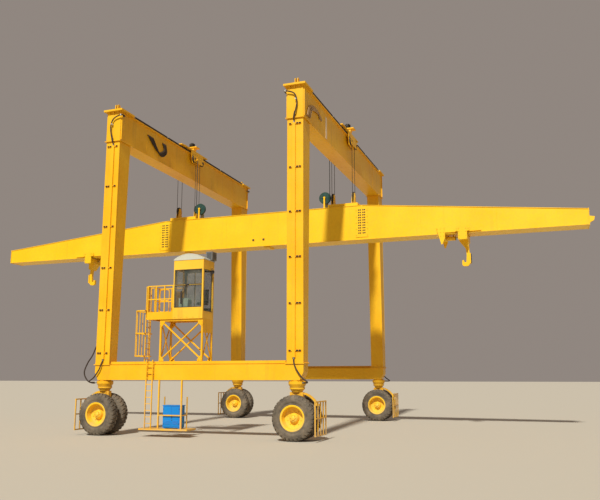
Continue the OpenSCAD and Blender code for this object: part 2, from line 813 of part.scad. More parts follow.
// cable reel: drum between two side discs, on a shaft in its stand
module reel(x) {
    color([0.1, 0.22, 0.2]) {
        disc_y(x, -300, -220, reel_height, reel_radius - seat_gap);
        disc_y(x, -320, -300, reel_height, reel_radius + 80);
        disc_y(x, -220, -200, reel_height, reel_radius + 80);
        disc_y(x, -200, -40 - seat_gap, reel_height, 60);
        disc_y(x, -350, -320, reel_height, 90);
    }
}

module reel_left() { reel(-reel_x); }

module reel_right() { reel(reel_x); }

// depth of a runner ledge, its length past the hook, and the drop of the bracket's pointed lugs
ledge = 50;
ledge_run = 900;
lug_drop = 520;

// runner ledges, and the bracket that carries each hook cylinder's barrel
module hook_stops() {
    lug = [[stop_offset - 210, spreader_bottom + 330], [stop_offset + 210, spreader_bottom + 330],
        [stop_offset + 210, spreader_bottom - 200], [stop_offset + 80, spreader_bottom - lug_drop],
        [stop_offset + 20, spreader_bottom - lug_drop], [stop_offset - 60, spreader_bottom - 200]];
    color(yellow) on_both_ends() {
        on_both_sides() {
            prism_y(half_sp, half_sp + 40, lug);
            box(stop_offset + 210, hook_offset + ledge_run, half_sp, half_sp + ledge,
                spreader_bottom + 60, spreader_bottom + 100);
        }
        box(stop_offset - 60, stop_offset + 210, -half_sp, half_sp, spreader_bottom - 230, spreader_bottom);
        difference() {
            disc_x(stop_offset + 210, hook_offset - 420, 0, cylinder_height, 105);
            disc_x(stop_offset + 330, hook_offset - 400, 0, cylinder_height, 45 + shaft_gap);
        }
    }
}

// carriage on the ledges, with claws over them, and the plate hook below
module hook() {
    x = hook_offset;
    low = spreader_bottom - 340;
    color(yellow) {
        on_both_sides() {
            box(x - 220, x + 220, half_sp + ledge + 15, half_sp + ledge + 75, low, spreader_bottom + 250);
            box(x - 200, x + 200, half_sp + 10, half_sp + ledge + 15,
                spreader_bottom + 100 + seat_gap, spreader_bottom + 190);
            for (s = [-1, 1])
                box(x + s * 285 - 65, x + s * 285 + 65, half_sp + ledge + 15, half_sp + ledge + 55,
                    spreader_bottom + 70, spreader_bottom + 240);
        }
        box(x - 220, x + 220, -half_sp - ledge - 15, half_sp + ledge + 15, low, spreader_bottom - 45);
        disc_x(x - 740, x - 220, 0, cylinder_height, 45);
        prism_y(-260, 260,
            [[x - 220, low], [x + 220, low], [x + 220, low - 300], [x + 60, low - 360]]);
        prism_y(-80, 80,
            [[x + 60, low - 340], [x + 220, low - 300], [x + 250, low - 700], [x + 240, low - 1150],
             [x + 150, low - 1250], [x - 60, low - 1250], [x - 130, low - 1190], [x - 130, low - 960],
             [x - 60, low - 940], [x - 20, low - 1060], [x + 70, low - 1060], [x + 100, low - 700]]);
        box(x + 240, x + 300, -130, 130, low - 1120, low - 620);
    }
}

module hook_right() { hook(); }

module hook_left() { mirror([1, 0, 0]) hook(); }

// half width of the yoke's head
yoke_half = 290;

// steering yoke: lower ring, cone and an arm down between the tyres, bored for the axle
module yoke() {
    color(yellow) difference() {
        union() {
            translate([0, 0, slew_height - 70])
                cylinder(h = 70 - seat_gap, d = slew_diameter - 100, $fn = 40);
            translate([0, 0, slew_height - 200])
                cylinder(h = 130, d1 = 420, d2 = slew_diameter - 150, $fn = 40);
            prism_y(-yoke_thickness / 2, yoke_thickness / 2,
                [[-230, tyre_radius], [230, tyre_radius], [yoke_half, slew_height - 450],
                 [yoke_half, slew_height - 195], [-yoke_half, slew_height - 195],
                 [-yoke_half, slew_height - 450]]);
            disc_y(0, -yoke_thickness / 2, yoke_thickness / 2, tyre_radius, 230);
        }
        disc_y(0, -yoke_thickness, yoke_thickness, tyre_radius, axle_radius + shaft_gap);
    }
}

// barred wheel guard, hung from an arm that follows the tyre's curve
module guard() {
    inner = tyre_radius + 70;
    outer = tyre_radius + 150;
    half = guard_width / 2;
    arc = [for (a = [68 : -6 : 32]) [outer * cos(a), tyre_radius + outer * sin(a)]];
    back = [for (a = [32 : 6 : 68]) [inner * cos(a), tyre_radius + inner * sin(a)]];
    color(yellow) {
        prism_y(-50, 50, concat([[yoke_half, arc[0][1] + 12]], arc, back, [[yoke_half, back[6][1] + 15]]));
        box(inner * cos(32) - 20, guard_offset + 20, -50, 50,
            tyre_radius + inner * sin(32) - 40, tyre_radius + inner * sin(32) + 40);
        for (z = [220, 900, 1560])
            box(guard_offset, guard_offset + 45, -half, half, z, z + 50);
        for (i = [0:4])
            box(guard_offset, guard_offset + 45, -half + i * (guard_width - 50) / 4,
                -half + i * (guard_width - 50) / 4 + 50, 220, 1610);
    }
}

// two dished rims on one axle
module rims() {
    near = tyre_gap / 2;
    far = tyre_gap / 2 + tyre_width;
    hub_in = yoke_thickness / 2 + 8;
    color(yellow) translate([0, 0, tyre_radius]) rotate([90, 0, 0]) {
        cylinder(h = 2 * far - 200, r = axle_radius, center = true, $fn = 48);
        for (s = [0, 1]) mirror([0, 0, s])
            rotate_extrude($fn = 48)
                polygon([[axle_radius, hub_in], [190, hub_in], [190, near + 150],
                         [rim_radius - 60, near + 90], [rim_radius - 60, near], [rim_radius, near],
                         [rim_radius, far], [rim_radius - 35, far], [rim_radius - 50, far - 60],
                         [rim_radius - 90, near + 200], [220, near + 170], [180, far - 160],
                         [140, far - 120], [axle_radius, far - 120]]);
    }
}

// the corner's pair of tyres
module tyres() {
    near = tyre_gap / 2;
    far = tyre_gap / 2 + tyre_width;
    color(dark) translate([0, 0, tyre_radius]) rotate([90, 0, 0])
        for (s = [0, 1]) mirror([0, 0, s])
            rotate_extrude($fn = 48)
                polygon([[rim_radius, near], [rim_radius + 60, near - 15], [tyre_radius - 190, near - 25],
                    [tyre_radius - 60, near + 5], [tyre_radius - 15, near + 45], [tyre_radius, near + 110],
                    [tyre_radius, far - 110], [tyre_radius - 15, far - 45], [tyre_radius - 60, far - 5],
                    [tyre_radius - 190, far + 25], [rim_radius + 60, far + 15], [rim_radius, far]]);
}

// a corner's piece in its place: guards always on the crane's outer side
module at_corner(sx, sy) {
    translate([sx * px, sy * wheel_y, 0]) mirror([sx < 0 ? 1 : 0, 0, 0]) children();
}

legs();
leg_flanges();
cross_beams();
cap_lugs();
sills();
slew_flanges();
leg_ducts();
beam_fittings();
cab_shell();
cab_glass();
cab_door();
cab_roof();
roof_unit();
seat();
console();
tower();
platform();
railing();
caged_ladder();
lower_ladder();
low_platform();
blue_box();
hoses();
trolley_frames();
trolley_sheaves();
trolley_motors();
hoist_ropes();
reel_cables();
spreader_middle();
spreader_ends();
splices();
rope_blocks();
block_sheaves();
reel_stands();
hook_stops();
hook_left();
hook_right();
reel_left();
reel_right();
at_corner(-1, -1) yoke();  // yoke_nl
at_corner(1, -1) yoke();  // yoke_nr
at_corner(-1, 1) yoke();  // yoke_fl
at_corner(1, 1) yoke();  // yoke_fr
at_corner(-1, -1) guard();  // guard_nl
at_corner(1, -1) guard();  // guard_nr
at_corner(-1, 1) guard();  // guard_fl
at_corner(1, 1) guard();  // guard_fr
at_corner(-1, -1) rims();  // rims_nl
at_corner(1, -1) rims();  // rims_nr
at_corner(-1, 1) rims();  // rims_fl
at_corner(1, 1) rims();  // rims_fr
at_corner(-1, -1) tyres();  // tyres_nl
at_corner(1, -1) tyres();  // tyres_nr
at_corner(-1, 1) tyres();  // tyres_fl
at_corner(1, 1) tyres();  // tyres_fr
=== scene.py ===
import math

import bmesh
import bpy
import numpy as np
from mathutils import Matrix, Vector


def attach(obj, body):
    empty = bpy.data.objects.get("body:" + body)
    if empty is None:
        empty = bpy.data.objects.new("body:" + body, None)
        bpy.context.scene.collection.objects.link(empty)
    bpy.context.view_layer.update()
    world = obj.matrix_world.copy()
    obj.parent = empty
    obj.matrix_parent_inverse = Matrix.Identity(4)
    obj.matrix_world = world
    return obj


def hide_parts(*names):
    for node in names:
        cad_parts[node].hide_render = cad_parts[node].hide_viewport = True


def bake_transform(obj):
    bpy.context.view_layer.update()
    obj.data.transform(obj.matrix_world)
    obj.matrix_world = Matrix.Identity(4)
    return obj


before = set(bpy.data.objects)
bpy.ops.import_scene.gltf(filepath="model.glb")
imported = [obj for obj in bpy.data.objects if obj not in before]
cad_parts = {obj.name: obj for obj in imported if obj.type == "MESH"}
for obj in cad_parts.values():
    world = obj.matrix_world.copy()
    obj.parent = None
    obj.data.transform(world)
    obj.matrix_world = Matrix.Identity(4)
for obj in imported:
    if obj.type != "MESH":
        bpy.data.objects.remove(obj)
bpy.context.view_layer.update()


# ---- Viewpoint, floor and light ------------------------------------------------------
# The photograph was taken from the ground, right of the crane and below its cab.
# A high sun behind the camera and a soft sky light the crane on a plain pale floor.
def stand(name, data):
    made = bpy.data.objects.new(name, data)
    bpy.context.collection.objects.link(made)
    return made


camera = stand("camera", bpy.data.cameras.new("camera"))
tilted_up, turned_left = 10.305, 19.609
camera.data.lens = 42.064
camera.data.clip_start, camera.data.clip_end = 0.5, 900
camera.location = (14.767, -35.222, 2.554)
camera.rotation_euler = (math.radians(90 + tilted_up), 0, math.radians(turned_left))
bpy.context.scene.camera = camera

floor_reach, floor_z = 420, -0.002
floor_mesh = bpy.data.meshes.new("floor")
floor_mesh.from_pydata([(x * floor_reach, y * floor_reach, floor_z)
                        for x, y in ((-1, -1), (1, -1), (1, 1), (-1, 1))], [], [(0, 1, 2, 3)])
floor_paint = bpy.data.materials.new("pale_floor")
floor_paint.use_nodes = True
floor_shader = floor_paint.node_tree.nodes["Principled BSDF"]
floor_shader.inputs["Base Color"].default_value = (0.51, 0.46, 0.385, 1)
floor_shader.inputs["Roughness"].default_value = 0.9
floor_mesh.materials.append(floor_paint)
stand("floor", floor_mesh)

sky = bpy.data.worlds.new("sky")
sky.use_nodes = True
sky.node_tree.nodes["Background"].inputs["Color"].default_value = (1.0, 0.86, 0.77, 1)
sky.node_tree.nodes["Background"].inputs["Strength"].default_value = 0.28
bpy.context.scene.world = sky
sun = stand("sun", bpy.data.lights.new("sun", "SUN"))
sun.data.energy, sun.data.color, sun.data.angle = 4.15, (1.0, 0.99, 0.90), math.radians(3)
sun.rotation_euler = Vector((-0.06, 0.72, -0.70)).to_track_quat("-Z", "Y").to_euler()
bpy.context.scene.view_settings.view_transform = "Standard"


# ---- Portal frames -------------------------------------------------------------------
# Two portals of welded plate boxes: legs, cross beams with overhanging flanges, and sills.
# Golden yellow enamel, faded in patches, with rain streaks, rust specks and dust low down.
def put(tree, value, socket):
    """Links an output to a socket, or sets a plain number or colour on it."""
    if isinstance(value, bpy.types.NodeSocket):
        tree.links.new(value, socket)
    else:
        socket.default_value = value


def add_node(tree, kind, **values):
    """A node whose inputs and other settings are given by name, with _ for a space."""
    node = tree.nodes.new(kind)
    for key, value in values.items():
        name = key.replace("_", " ")
        if name in node.inputs:
            put(tree, value, node.inputs[name])
        else:
            setattr(node, key, value)
    return node


class Paint:
    """A material whose patterns read the piece's own coordinates."""

    def __init__(self, name):
        self.material = bpy.data.materials.get(name) or bpy.data.materials.new(name)
        self.material.use_nodes = True
        self.tree = self.material.node_tree
        self.shader = self.tree.nodes["Principled BSDF"].inputs
        self.place = self.add("TexCoord").outputs["Object"]

    def add(self, kind, **values):
        return add_node(self.tree, "ShaderNode" + kind, **values)

    def noise(self, scale, detail, rough=0.55, stretch=(1, 1, 1), distort=0.0):
        place = self.add("Mapping", Vector=self.place, Scale=stretch).outputs["Vector"]
        return self.add("TexNoise", Vector=place, Scale=scale, Detail=detail, Roughness=rough,
                        Distortion=distort).outputs["Fac"]

    def ramp(self, source, low, high, first=0.0, last=1.0):
        return self.add("MapRange", Value=source, From_Min=low, From_Max=high, To_Min=first,
                        To_Max=last).outputs["Result"]

    def combine(self, operation, *values, kind="Math"):
        node = self.add(kind, operation=operation)
        for value, socket in zip(values, node.inputs):
            put(self.tree, value, socket)
        return node.outputs["Value"]

    def blend(self, amount, first, second, kind="MIX"):
        node = self.add("Mix", data_type="RGBA", blend_type=kind, Factor=amount)
        put(self.tree, first, node.inputs[6])
        put(self.tree, second, node.inputs[7])
        return node.outputs[2]

    def bump(self, height, strength, distance):
        return self.add("Bump", Height=height, Strength=strength,
                        Distance=distance).outputs["Normal"]

    def dress(self, **values):
        """Sets or links the shader's own sockets, with _ for a space."""
        for key, value in values.items():
            put(self.tree, value, self.shader[key.replace("_", " ")])
        return self.material


def enamel(name, colour, faded, rust=0.45, streaks=0.26, dust_height=2.4, chips=0.3):
    """Old paint: faded patches, rain streaks, rust specks, dust low down and chipped edges."""
    paint = Paint(name)
    noise, ramp, blend = paint.noise, paint.ramp, paint.blend
    dirt, rusty = (0.16, 0.10, 0.045, 1), (0.17, 0.055, 0.018, 1)
    dust, bared = (0.42, 0.34, 0.25, 1), (0.20, 0.085, 0.03, 1)
    base = blend(ramp(noise(0.55, 4), 0.38, 0.68), colour, faded)
    fine = noise(7.0, 6, 0.65)
    base = blend(ramp(fine, 0.3, 0.8, 0.0, 0.12), base, dirt, "MULTIPLY")
    runs = noise(1.5, 5, 0.6, (2.2, 2.2, 0.2), 0.5)
    base = blend(ramp(runs, 0.56, 0.78, 0.0, streaks), base, dirt)
    base = blend(ramp(noise(11.0, 9, 0.72), 0.66, 0.72, 0.0, rust), base, rusty)
    height = paint.add("SeparateXYZ", Vector=paint.place).outputs["Z"]
    clouds = ramp(noise(3.2, 5), 0.3, 0.75, 0.0, 0.85)
    low = paint.combine("MULTIPLY", ramp(height, dust_height, 0.0), clouds)
    base = blend(low, base, dust)
    rounded = paint.add("Bevel", samples=3, Radius=0.022).outputs["Normal"]
    flat = paint.add("NewGeometry").outputs["Normal"]
    apart = paint.combine("DOT_PRODUCT", rounded, flat, kind="VectorMath")
    edge = ramp(apart, 0.985, 0.82, 0.0, chips)
    chipped = paint.combine("MULTIPLY", edge, ramp(noise(9.0, 5), 0.42, 0.6))
    waves, skin = ramp(noise(1.1, 2), 0, 1), ramp(noise(60.0, 3), 0, 1, 0, 0.05)
    return paint.dress(Base_Color=blend(chipped, base, bared),
                       Roughness=ramp(fine, 0.25, 0.8, 0.30, 0.62), Specular_IOR_Level=0.35,
                       Coat_Weight=0.05, Coat_Roughness=0.3,
                       Normal=paint.bump(paint.combine("ADD", waves, skin), 0.35, 0.02))


def greased_steel(name, colour=(0.045, 0.045, 0.047, 1), warm=(0.10, 0.075, 0.055, 1),
                  metal=0.6, gloss=0.35):
    paint = Paint(name)
    patches = paint.ramp(paint.noise(8, 6, 0.6), 0.4, 0.75)
    return paint.dress(Base_Color=paint.blend(patches, colour, warm), Metallic=metal,
                       Roughness=paint.ramp(paint.noise(25, 4), 0.3, 0.7, gloss, gloss + 0.35),
                       Normal=paint.bump(paint.noise(80, 4), 0.2, 0.003))


def paint_on(material, *names):
    for name in names:
        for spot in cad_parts[name].material_slots:
            spot.material = material


yellow = enamel("golden_yellow_enamel", (0.86, 0.44, 0.005, 1), (0.89, 0.50, 0.015, 1))
dark_steel = greased_steel("greased_dark_steel")
zinc = greased_steel("weathered_zinc", (0.30, 0.30, 0.29, 1), (0.20, 0.15, 0.10, 1), 0.7)
paint_on(yellow, "legs", "leg_flanges", "cross_beams", "cap_lugs", "sills", "leg_ducts")
pole = 1e-5


class Forge:
    """Collects the solids of one piece and turns them into a mesh that rides on a body."""

    def __init__(self):
        self.mesh = bmesh.new()

    def block(self, x0, x1, y0, y1, z0, z1, round_off):
        made = bmesh.ops.create_cube(self.mesh, size=1.0)["verts"]
        size = (abs(x1 - x0), abs(y1 - y0), abs(z1 - z0))
        bmesh.ops.scale(self.mesh, vec=size, verts=made)
        middle = ((x0 + x1) / 2, (y0 + y1) / 2, (z0 + z1) / 2)
        bmesh.ops.translate(self.mesh, vec=middle, verts=made)
        edges = list({e for v in made for e in v.link_edges})
        bmesh.ops.bevel(self.mesh, geom=edges, offset=round_off, segments=2, affect="EDGES")
        return self

    def lathe(self, profile, centre, axis, sides=48):
        """Turns (radius, distance along the axis) points; the outline is open at a pole."""
        turn = Vector((0, 0, 1)).rotation_difference(Vector(axis)).to_matrix()
        rings = []
        for i in range(sides):
            a = 2 * math.pi * i / sides
            points = (Vector((r * math.cos(a), r * math.sin(a), h)) for r, h in profile)
            rings.append([self.mesh.verts.new(turn @ p + Vector(centre)) for p in points])
        count = len(profile)
        for here, there in zip(rings, rings[1:] + rings[:1]):
            for j in range(count - 1 if profile[0][0] == pole else count):
                k = (j + 1) % count
                self.mesh.faces.new([here[j], there[j], there[k], here[k]])
        return self

    def rod(self, start, end, radius, sides=16):
        start, end = Vector(start), Vector(end)
        length = (end - start).length
        chamfer = min(radius, length) * 0.12
        self.lathe([(pole, 0), (radius - chamfer, 0), (radius, chamfer), (radius, length - chamfer),
                    (radius - chamfer, length), (pole, length)],
                   start, (end - start).normalized(), sides)
        return self

    def skin(self, rings):
        """Joins closed rings of points one to the next, with a cap on either end."""
        rings = [[self.mesh.verts.new(p) for p in ring] for ring in rings]
        for here, there in zip(rings, rings[1:]):
            for k in range(len(here)):
                self.mesh.faces.new([here[k - 1], here[k], there[k], there[k - 1]])
        self.mesh.faces.new(rings[0])
        self.mesh.faces.new(rings[-1])

    def tube(self, route, radius, sides=12, step=0.05):
        """A smooth tube through the route's points."""
        points = [Vector(p) for p in route]
        points = [points[0] * 2 - points[1]] + points + [points[-1] * 2 - points[-2]]
        path = []
        for a, b, c, d in zip(points, points[1:], points[2:], points[3:]):
            count = max(2, int((c - b).length / step))
            for i in range(count):
                t = i / count
                path.append(0.5 * (2 * b + (c - a) * t + (2 * a - 5 * b + 4 * c - d) * t * t
                                   + (3 * b - 3 * c + d - a) * t ** 3))
        path.append(points[-2])
        side, rings = Vector((0.3, 0.5, 0.8)), []
        for i, middle in enumerate(path):
            along = (path[min(i + 1, len(path) - 1)] - path[max(i - 1, 0)]).normalized()
            side = (side - along * side.dot(along)).normalized()
            across = along.cross(side)
            rings.append([middle + radius * (math.cos(a) * side + math.sin(a) * across)
                          for a in (2 * math.pi * k / sides for k in range(sides))])
        self.skin(rings)

    def outline(self, points, axis, low, high):
        """A flat outline given a thickness along X (0) or Y (1)."""
        self.skin([[(*p[:axis], t, *p[axis:]) for p in points] for t in (low, high)])

    def finish(self, name, body, material, slot, smooth=40):
        bmesh.ops.remove_doubles(self.mesh, verts=self.mesh.verts, dist=2 * pole)
        bmesh.ops.recalc_face_normals(self.mesh, faces=self.mesh.faces)
        data = bpy.data.meshes.new(name)
        self.mesh.to_mesh(data)
        self.mesh.free()
        piece = stand(name, data)
        data.materials.append(material)
        if smooth:
            data.shade_smooth()
            data.set_sharp_from_angle(angle=math.radians(smooth))
        if body:
            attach(piece, body)
        return piece


def settle(piece, body):
    """The evaluated piece becomes a plain mesh, loses its modifiers and rides on its body."""
    bpy.context.view_layer.update()
    ready = piece.evaluated_get(bpy.context.evaluated_depsgraph_get())
    data = bpy.data.meshes.new_from_object(ready)
    piece.modifiers.clear()
    piece.data = data
    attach(piece, body)


# Hexagon bolts with washers join every flange. One tree sets a bolt on each point of a mesh,
# turned to the point's facing, and the enamel goes over bolts and flanges alike.
def bolt_tree(material):
    tree = bpy.data.node_groups.new("bolts_" + material.name, "GeometryNodeTree")
    for name, way, kind in (("Points", "INPUT", "Geometry"), ("Bolt radius", "INPUT", "Float"),
                            ("Bolts", "OUTPUT", "Geometry")):
        tree.interface.new_socket(name, in_out=way, socket_type="NodeSocket" + kind)

    def add(kind, **values):
        return add_node(tree, kind, **values)

    def scaled(factor):
        node = add("ShaderNodeMath", operation="MULTIPLY", Value=start["Bolt radius"])
        put(tree, factor, node.inputs[1])
        return node.outputs[0]

    start, join = add("NodeGroupInput").outputs, add("GeometryNodeJoinGeometry")
    head, washer, tip = (6, 1.0, 0.75, 0.5), (12, 1.45, 0.26, 0.08), (8, 0.5, 0.5, 1.05)
    for sides, radius, depth, middle in (head, washer, tip):
        drum = add("GeometryNodeMeshCylinder", Vertices=sides, Radius=scaled(radius),
                   Depth=scaled(depth))
        lift = add("ShaderNodeCombineXYZ", Z=scaled(middle))
        move = add("GeometryNodeTransform", Geometry=drum.outputs["Mesh"],
                   Translation=lift.outputs[0])
        put(tree, move.outputs[0], join.inputs[0])
    facing = add("GeometryNodeInputNamedAttribute", data_type="FLOAT_VECTOR", Name="facing")
    turn = add("FunctionNodeAlignRotationToVector", axis="Z", Vector=facing.outputs["Attribute"])
    spread = add("GeometryNodeInstanceOnPoints", Points=start["Points"],
                 Instance=join.outputs[0], Rotation=turn.outputs["Rotation"])
    real = add("GeometryNodeRealizeInstances", Geometry=spread.outputs[0])
    finish = add("GeometryNodeSetMaterial", Geometry=real.outputs[0], Material=material)
    put(tree, finish.outputs[0], add("NodeGroupOutput").inputs[0])
    return tree


def bolts(name, body, places, radius, material):
    """Sets painted bolts on places, each a point and the way that its bolt faces."""
    data = bpy.data.meshes.new(name)
    data.from_pydata([point for point, _ in places], [], [])
    facing = data.attributes.new("facing", "FLOAT_VECTOR", "POINT")
    facing.data.foreach_set("vector", [c for _, way in places for c in way])
    piece = stand(name, data)
    tree = bpy.data.node_groups.get("bolts_" + material.name) or bolt_tree(material)
    modifier = piece.modifiers.new("bolts", "NODES")
    modifier.node_group = tree
    for item in tree.interface.items_tree:
        if item.name == "Bolt radius":
            modifier[item.identifier] = radius
    settle(piece, body)


def grid(origin, xs, ys, zs, facing):
    """Places at every crossing of the steps from an origin."""
    x, y, z = origin
    return [((x + dx, y + dy, z + dz), facing) for dx in xs for dy in ys for dz in zs]


def bolt_circle(centre, radius, count, facing, start=0.0):
    """Places round a circle that faces along Z or Y, the first one start steps on."""
    x, y, z = centre
    places = []
    for i in range(count):
        a = 2 * math.pi * (i + start) / count
        u, v = radius * math.cos(a), radius * math.sin(a)
        places.append(((x + u, y + v, z) if facing[2] else (x + u, y, z + v), facing))
    return places


both, up, down = (-1, 1), (0, 0, 1), (0, 0, -1)
quarters = [(sx, sy) for sx in both for sy in both]
portal_x, half_leg, half_span = 4.7, 0.37, 7.6
head_depth, foot_depth, lip, cap_lip = 0.92, 0.60, 0.035, 0.113
joint, beam_top = 13.86, 15.34
sill_top, sill_bottom, kerb_top = 3.11, 2.44, 3.26
duct_low, duct_high = kerb_top + 0.12, joint - 0.26
# The leg ducts' bolts stand in columns beside each bracket. They are real bolts, but coloured dark
# steel as painted shadow, standing in for the dark marks that the brackets cast on the legs.
duct_shadow_columns = (-0.24, -0.20, 0.09, 0.13, 0.21, 0.25)
flange_places, duct_shadow_places = [], []
for sx, sy in quarters:
    x = sx * portal_x
    front, back = sy * (half_span + lip), sy * (half_span - head_depth - lip)
    foot_front, foot_back = sy * (half_span - 0.06), sy * (half_span - foot_depth + 0.06)
    flange_places += grid((x, 0, joint - 0.04), np.linspace(0.05 - half_leg, half_leg - 0.05, 6),
                          (front, back), (0,), down)
    for reach, z, y0, y1, count, facing in (
            (lip, joint - 0.04, front - sy * 0.12, back + sy * 0.12, 7, down),
            (cap_lip, beam_top, front + sy * 0.06, back + sy * 0.08, 6, down),
            (lip, sill_top + 0.04, foot_front, foot_back, 4, up)):
        flange_places += grid((x, 0, z), (-half_leg - reach, half_leg + reach),
                              np.linspace(y0, y1, count), (0,), facing)
    duct_shadow_places += grid((x, sy * (half_span + 0.04), 0), [sx * step for step in duct_shadow_columns], (0,),
                        np.linspace(duct_low + 0.28, duct_high - 0.03, 6), (0, sy, 0))
bolts("flange_bolts", "gantry", flange_places, 0.022, yellow)
bolts("duct_shadow_bolts", "gantry", duct_shadow_places, 0.024, dark_steel)

# Weld beads run round the webs, where plates of the boxes meet.
weld = Forge()
for sx, side in quarters:
    x = sx * portal_x + side * half_leg
    for y in (-5.2, 0.3, 5.2):
        weld.rod((x, y, joint + 0.02), (x, y, beam_top - 0.05), 0.006, 6)
    for z in (beam_top - 0.05, joint + 0.012):
        weld.rod((x, -6.6, z), (x, 6.6, z), 0.008, 6)
    for y in (0.012 - half_span, half_span - 0.012):
        weld.rod((x, y, sill_top + 0.05), (x, y, joint - 0.05), 0.007, 6)
        weld.rod((x, y, sill_bottom + 0.35), (x, y, sill_top - 0.01), 0.007, 6)
weld.finish("weld_beads", "gantry", yellow, "yellow_paint")

# Triangular stiffeners stand at the inner foot of each leg and under each cap plate.
ribs, rib_half = Forge(), 0.008
for sx, sy in quarters:
    foot, head = sy * (half_span - foot_depth), sy * half_span
    for x in (sx * portal_x + step for step in (-0.25, 0.0, 0.25)):
        for points in (((foot, sill_top + 0.04), (foot - sy * 0.046, sill_top + 0.04),
                        (foot - sy * 0.004, sill_top + 0.30), (foot, sill_top + 0.30)),
                       ((head, beam_top), (head + sy * 0.14, beam_top),
                        (head + sy * 0.02, beam_top - 0.16), (head, beam_top - 0.16))):
            ribs.outline(points, 0, x - rib_half, x + rib_half)
ribs.finish("stiffeners", "gantry", yellow, "yellow_paint", 0)


# ---- Hoses and festoon cables --------------------------------------------------------
# Rubber hydraulic hoses swing round each leg's head and foot; festoon cables loop on the webs.
# They are extruded rubber, pressed into crimped steel ferrules at their ends.
def dusty_rubber(name, colour, dust, amount):
    paint = Paint(name)
    cloud = paint.ramp(paint.noise(2.2, 6, 0.65), 0.35, 0.75, 0.12, amount)
    specks = paint.ramp(paint.noise(30, 5, 0.7), 0.55, 0.75, 0.0, 0.5)
    return paint.dress(Base_Color=paint.blend(specks, paint.blend(cloud, colour, dust), dust),
                       Roughness=paint.ramp(paint.noise(12, 4), 0.3, 0.7, 0.68, 0.92),
                       Normal=paint.bump(paint.noise(55, 5), 0.3, 0.006))


hose_rubber = dusty_rubber("brown_black_hose_rubber", (0.024, 0.015, 0.012, 1),
                           (0.09, 0.055, 0.035, 1), 0.6)
faded_rubber = dusty_rubber("faded_brown_rubber", (0.26, 0.13, 0.035, 1),
                            (0.62, 0.42, 0.22, 1), 0.8)
hoses, faded_hoses, ferrules = Forge(), Forge(), Forge()
hose_radius, strand_radius, strands = 0.030, 0.025, 6
ring_edge, ring_port, corner_y = 0.37, 2.335, 7.3


def beside_ring(angle, reach):
    a, radius = math.radians(angle), ring_edge + reach
    return radius * math.cos(a), corner_y - half_span + radius * math.sin(a), ring_port


# Routes from the leg's middle and outer face, X and Y growing outwards.
head_route = [(-0.37, -0.15, 15.11), (-0.49, -0.15, 15.11), (-0.44, 0.10, 15.11),
              (-0.02, 0.095, 14.95), (0.115, 0.105, 14.50), (-0.025, 0.118, 13.815),
              (-0.04, 0.04, 13.70), (-0.04, 0.04, 13.60)]
head_sleeve = [(0.03, 0.119, 14.10), (-0.012, 0.118, 13.90), (-0.03, 0.104, 13.79)]
foot_route = [(-0.04, 0.04, 3.38), (-0.04, 0.04, 3.30), (-0.01, 0.10, 3.16), (0.09, 0.10, 2.90),
              (0.34, 0.105, 2.56), (0.59, 0.11, 2.36), beside_ring(35, 0.10), beside_ring(35, 0.0)]
loop_route = [(0.37, -0.15, 4.0), (0.45, -0.15, 4.0), (0.65, -0.14, 3.56), (0.89, -0.12, 3.19),
              (1.03, -0.11, 2.76), (0.83, -0.13, 2.40), (0.56, -0.20, 2.30),
              beside_ring(10, 0.09), beside_ring(10, 0.0)]


def lay(bundle, points, radius, sides, collar, length):
    """A hose through the points, with a ferrule pressed over either end."""
    bundle.tube(points, radius, sides)
    for end, after in ((0, 1), (-1, -2)):
        start = Vector(points[end])
        along = (Vector(points[after]) - start).normalized()
        ferrules.rod(start, start + along * length, collar, 6)


def at_leg(route, sx, sy):
    return [(sx * (portal_x + x), sy * (half_span + y), z) for x, y, z in route]


for sx, sy in quarters:
    for route in (head_route, foot_route):
        lay(hoses, at_leg(route, sx, sy), hose_radius, 12, hose_radius + 0.008, 0.09)
    hoses.tube(at_leg(head_sleeve, sx, sy), 0.040)
lay(hoses, at_leg(loop_route, -1, -1), hose_radius, 12, hose_radius + 0.008, 0.09)

# Festoons hang on the web as fanned strands; each route gives the distance from the web first.
festoon_left = [(0, -4.94, 14.90), (0.045, -4.94, 14.90), (0.045, -4.50, 14.56),
                (0.045, -3.96, 14.31), (0.045, -3.44, 14.59), (0.045, -3.56, 14.92),
                (0, -3.56, 14.92)]
festoon_right = [(0, -6.95, 14.10), (0.045, -6.95, 14.10), (0.045, -6.70, 14.56),
                 (0.045, -6.10, 14.80), (0.045, -5.50, 14.78), (0.045, -5.21, 14.54),
                 (0, -5.21, 14.54)]
sags, fans = (0, 0, 0.3, 0.8, 0.6, 0, 0), (1.5, 1.5, 1.3, 0.9, 0.8, 1, 1)
for bundle, festoon, web_x in ((hoses, festoon_left, -portal_x + half_leg),
                               (faded_hoses, festoon_right, portal_x + half_leg)):
    for strand in range(strands):
        out, across = 1 + 0.25 * (strand % 2), 0.056 * (strand - (strands - 1) / 2)
        route = [(web_x + x * out, y + fan * across, z - 0.036 * sag * strand)
                 for (x, y, z), sag, fan in zip(festoon, sags, fans)]
        lay(bundle, route, strand_radius, 10, 0.031, 0.04)
smooth_hoses = hoses.finish("rubber_hoses", "gantry", hose_rubber, "cable_rubber", 50)
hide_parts("hoses")
faded_hoses.finish("faded_festoon", "gantry", faded_rubber, "cable_rubber", 50)
ferrules.finish("hose_ferrules", "gantry", zinc, "grey_steel", 30)

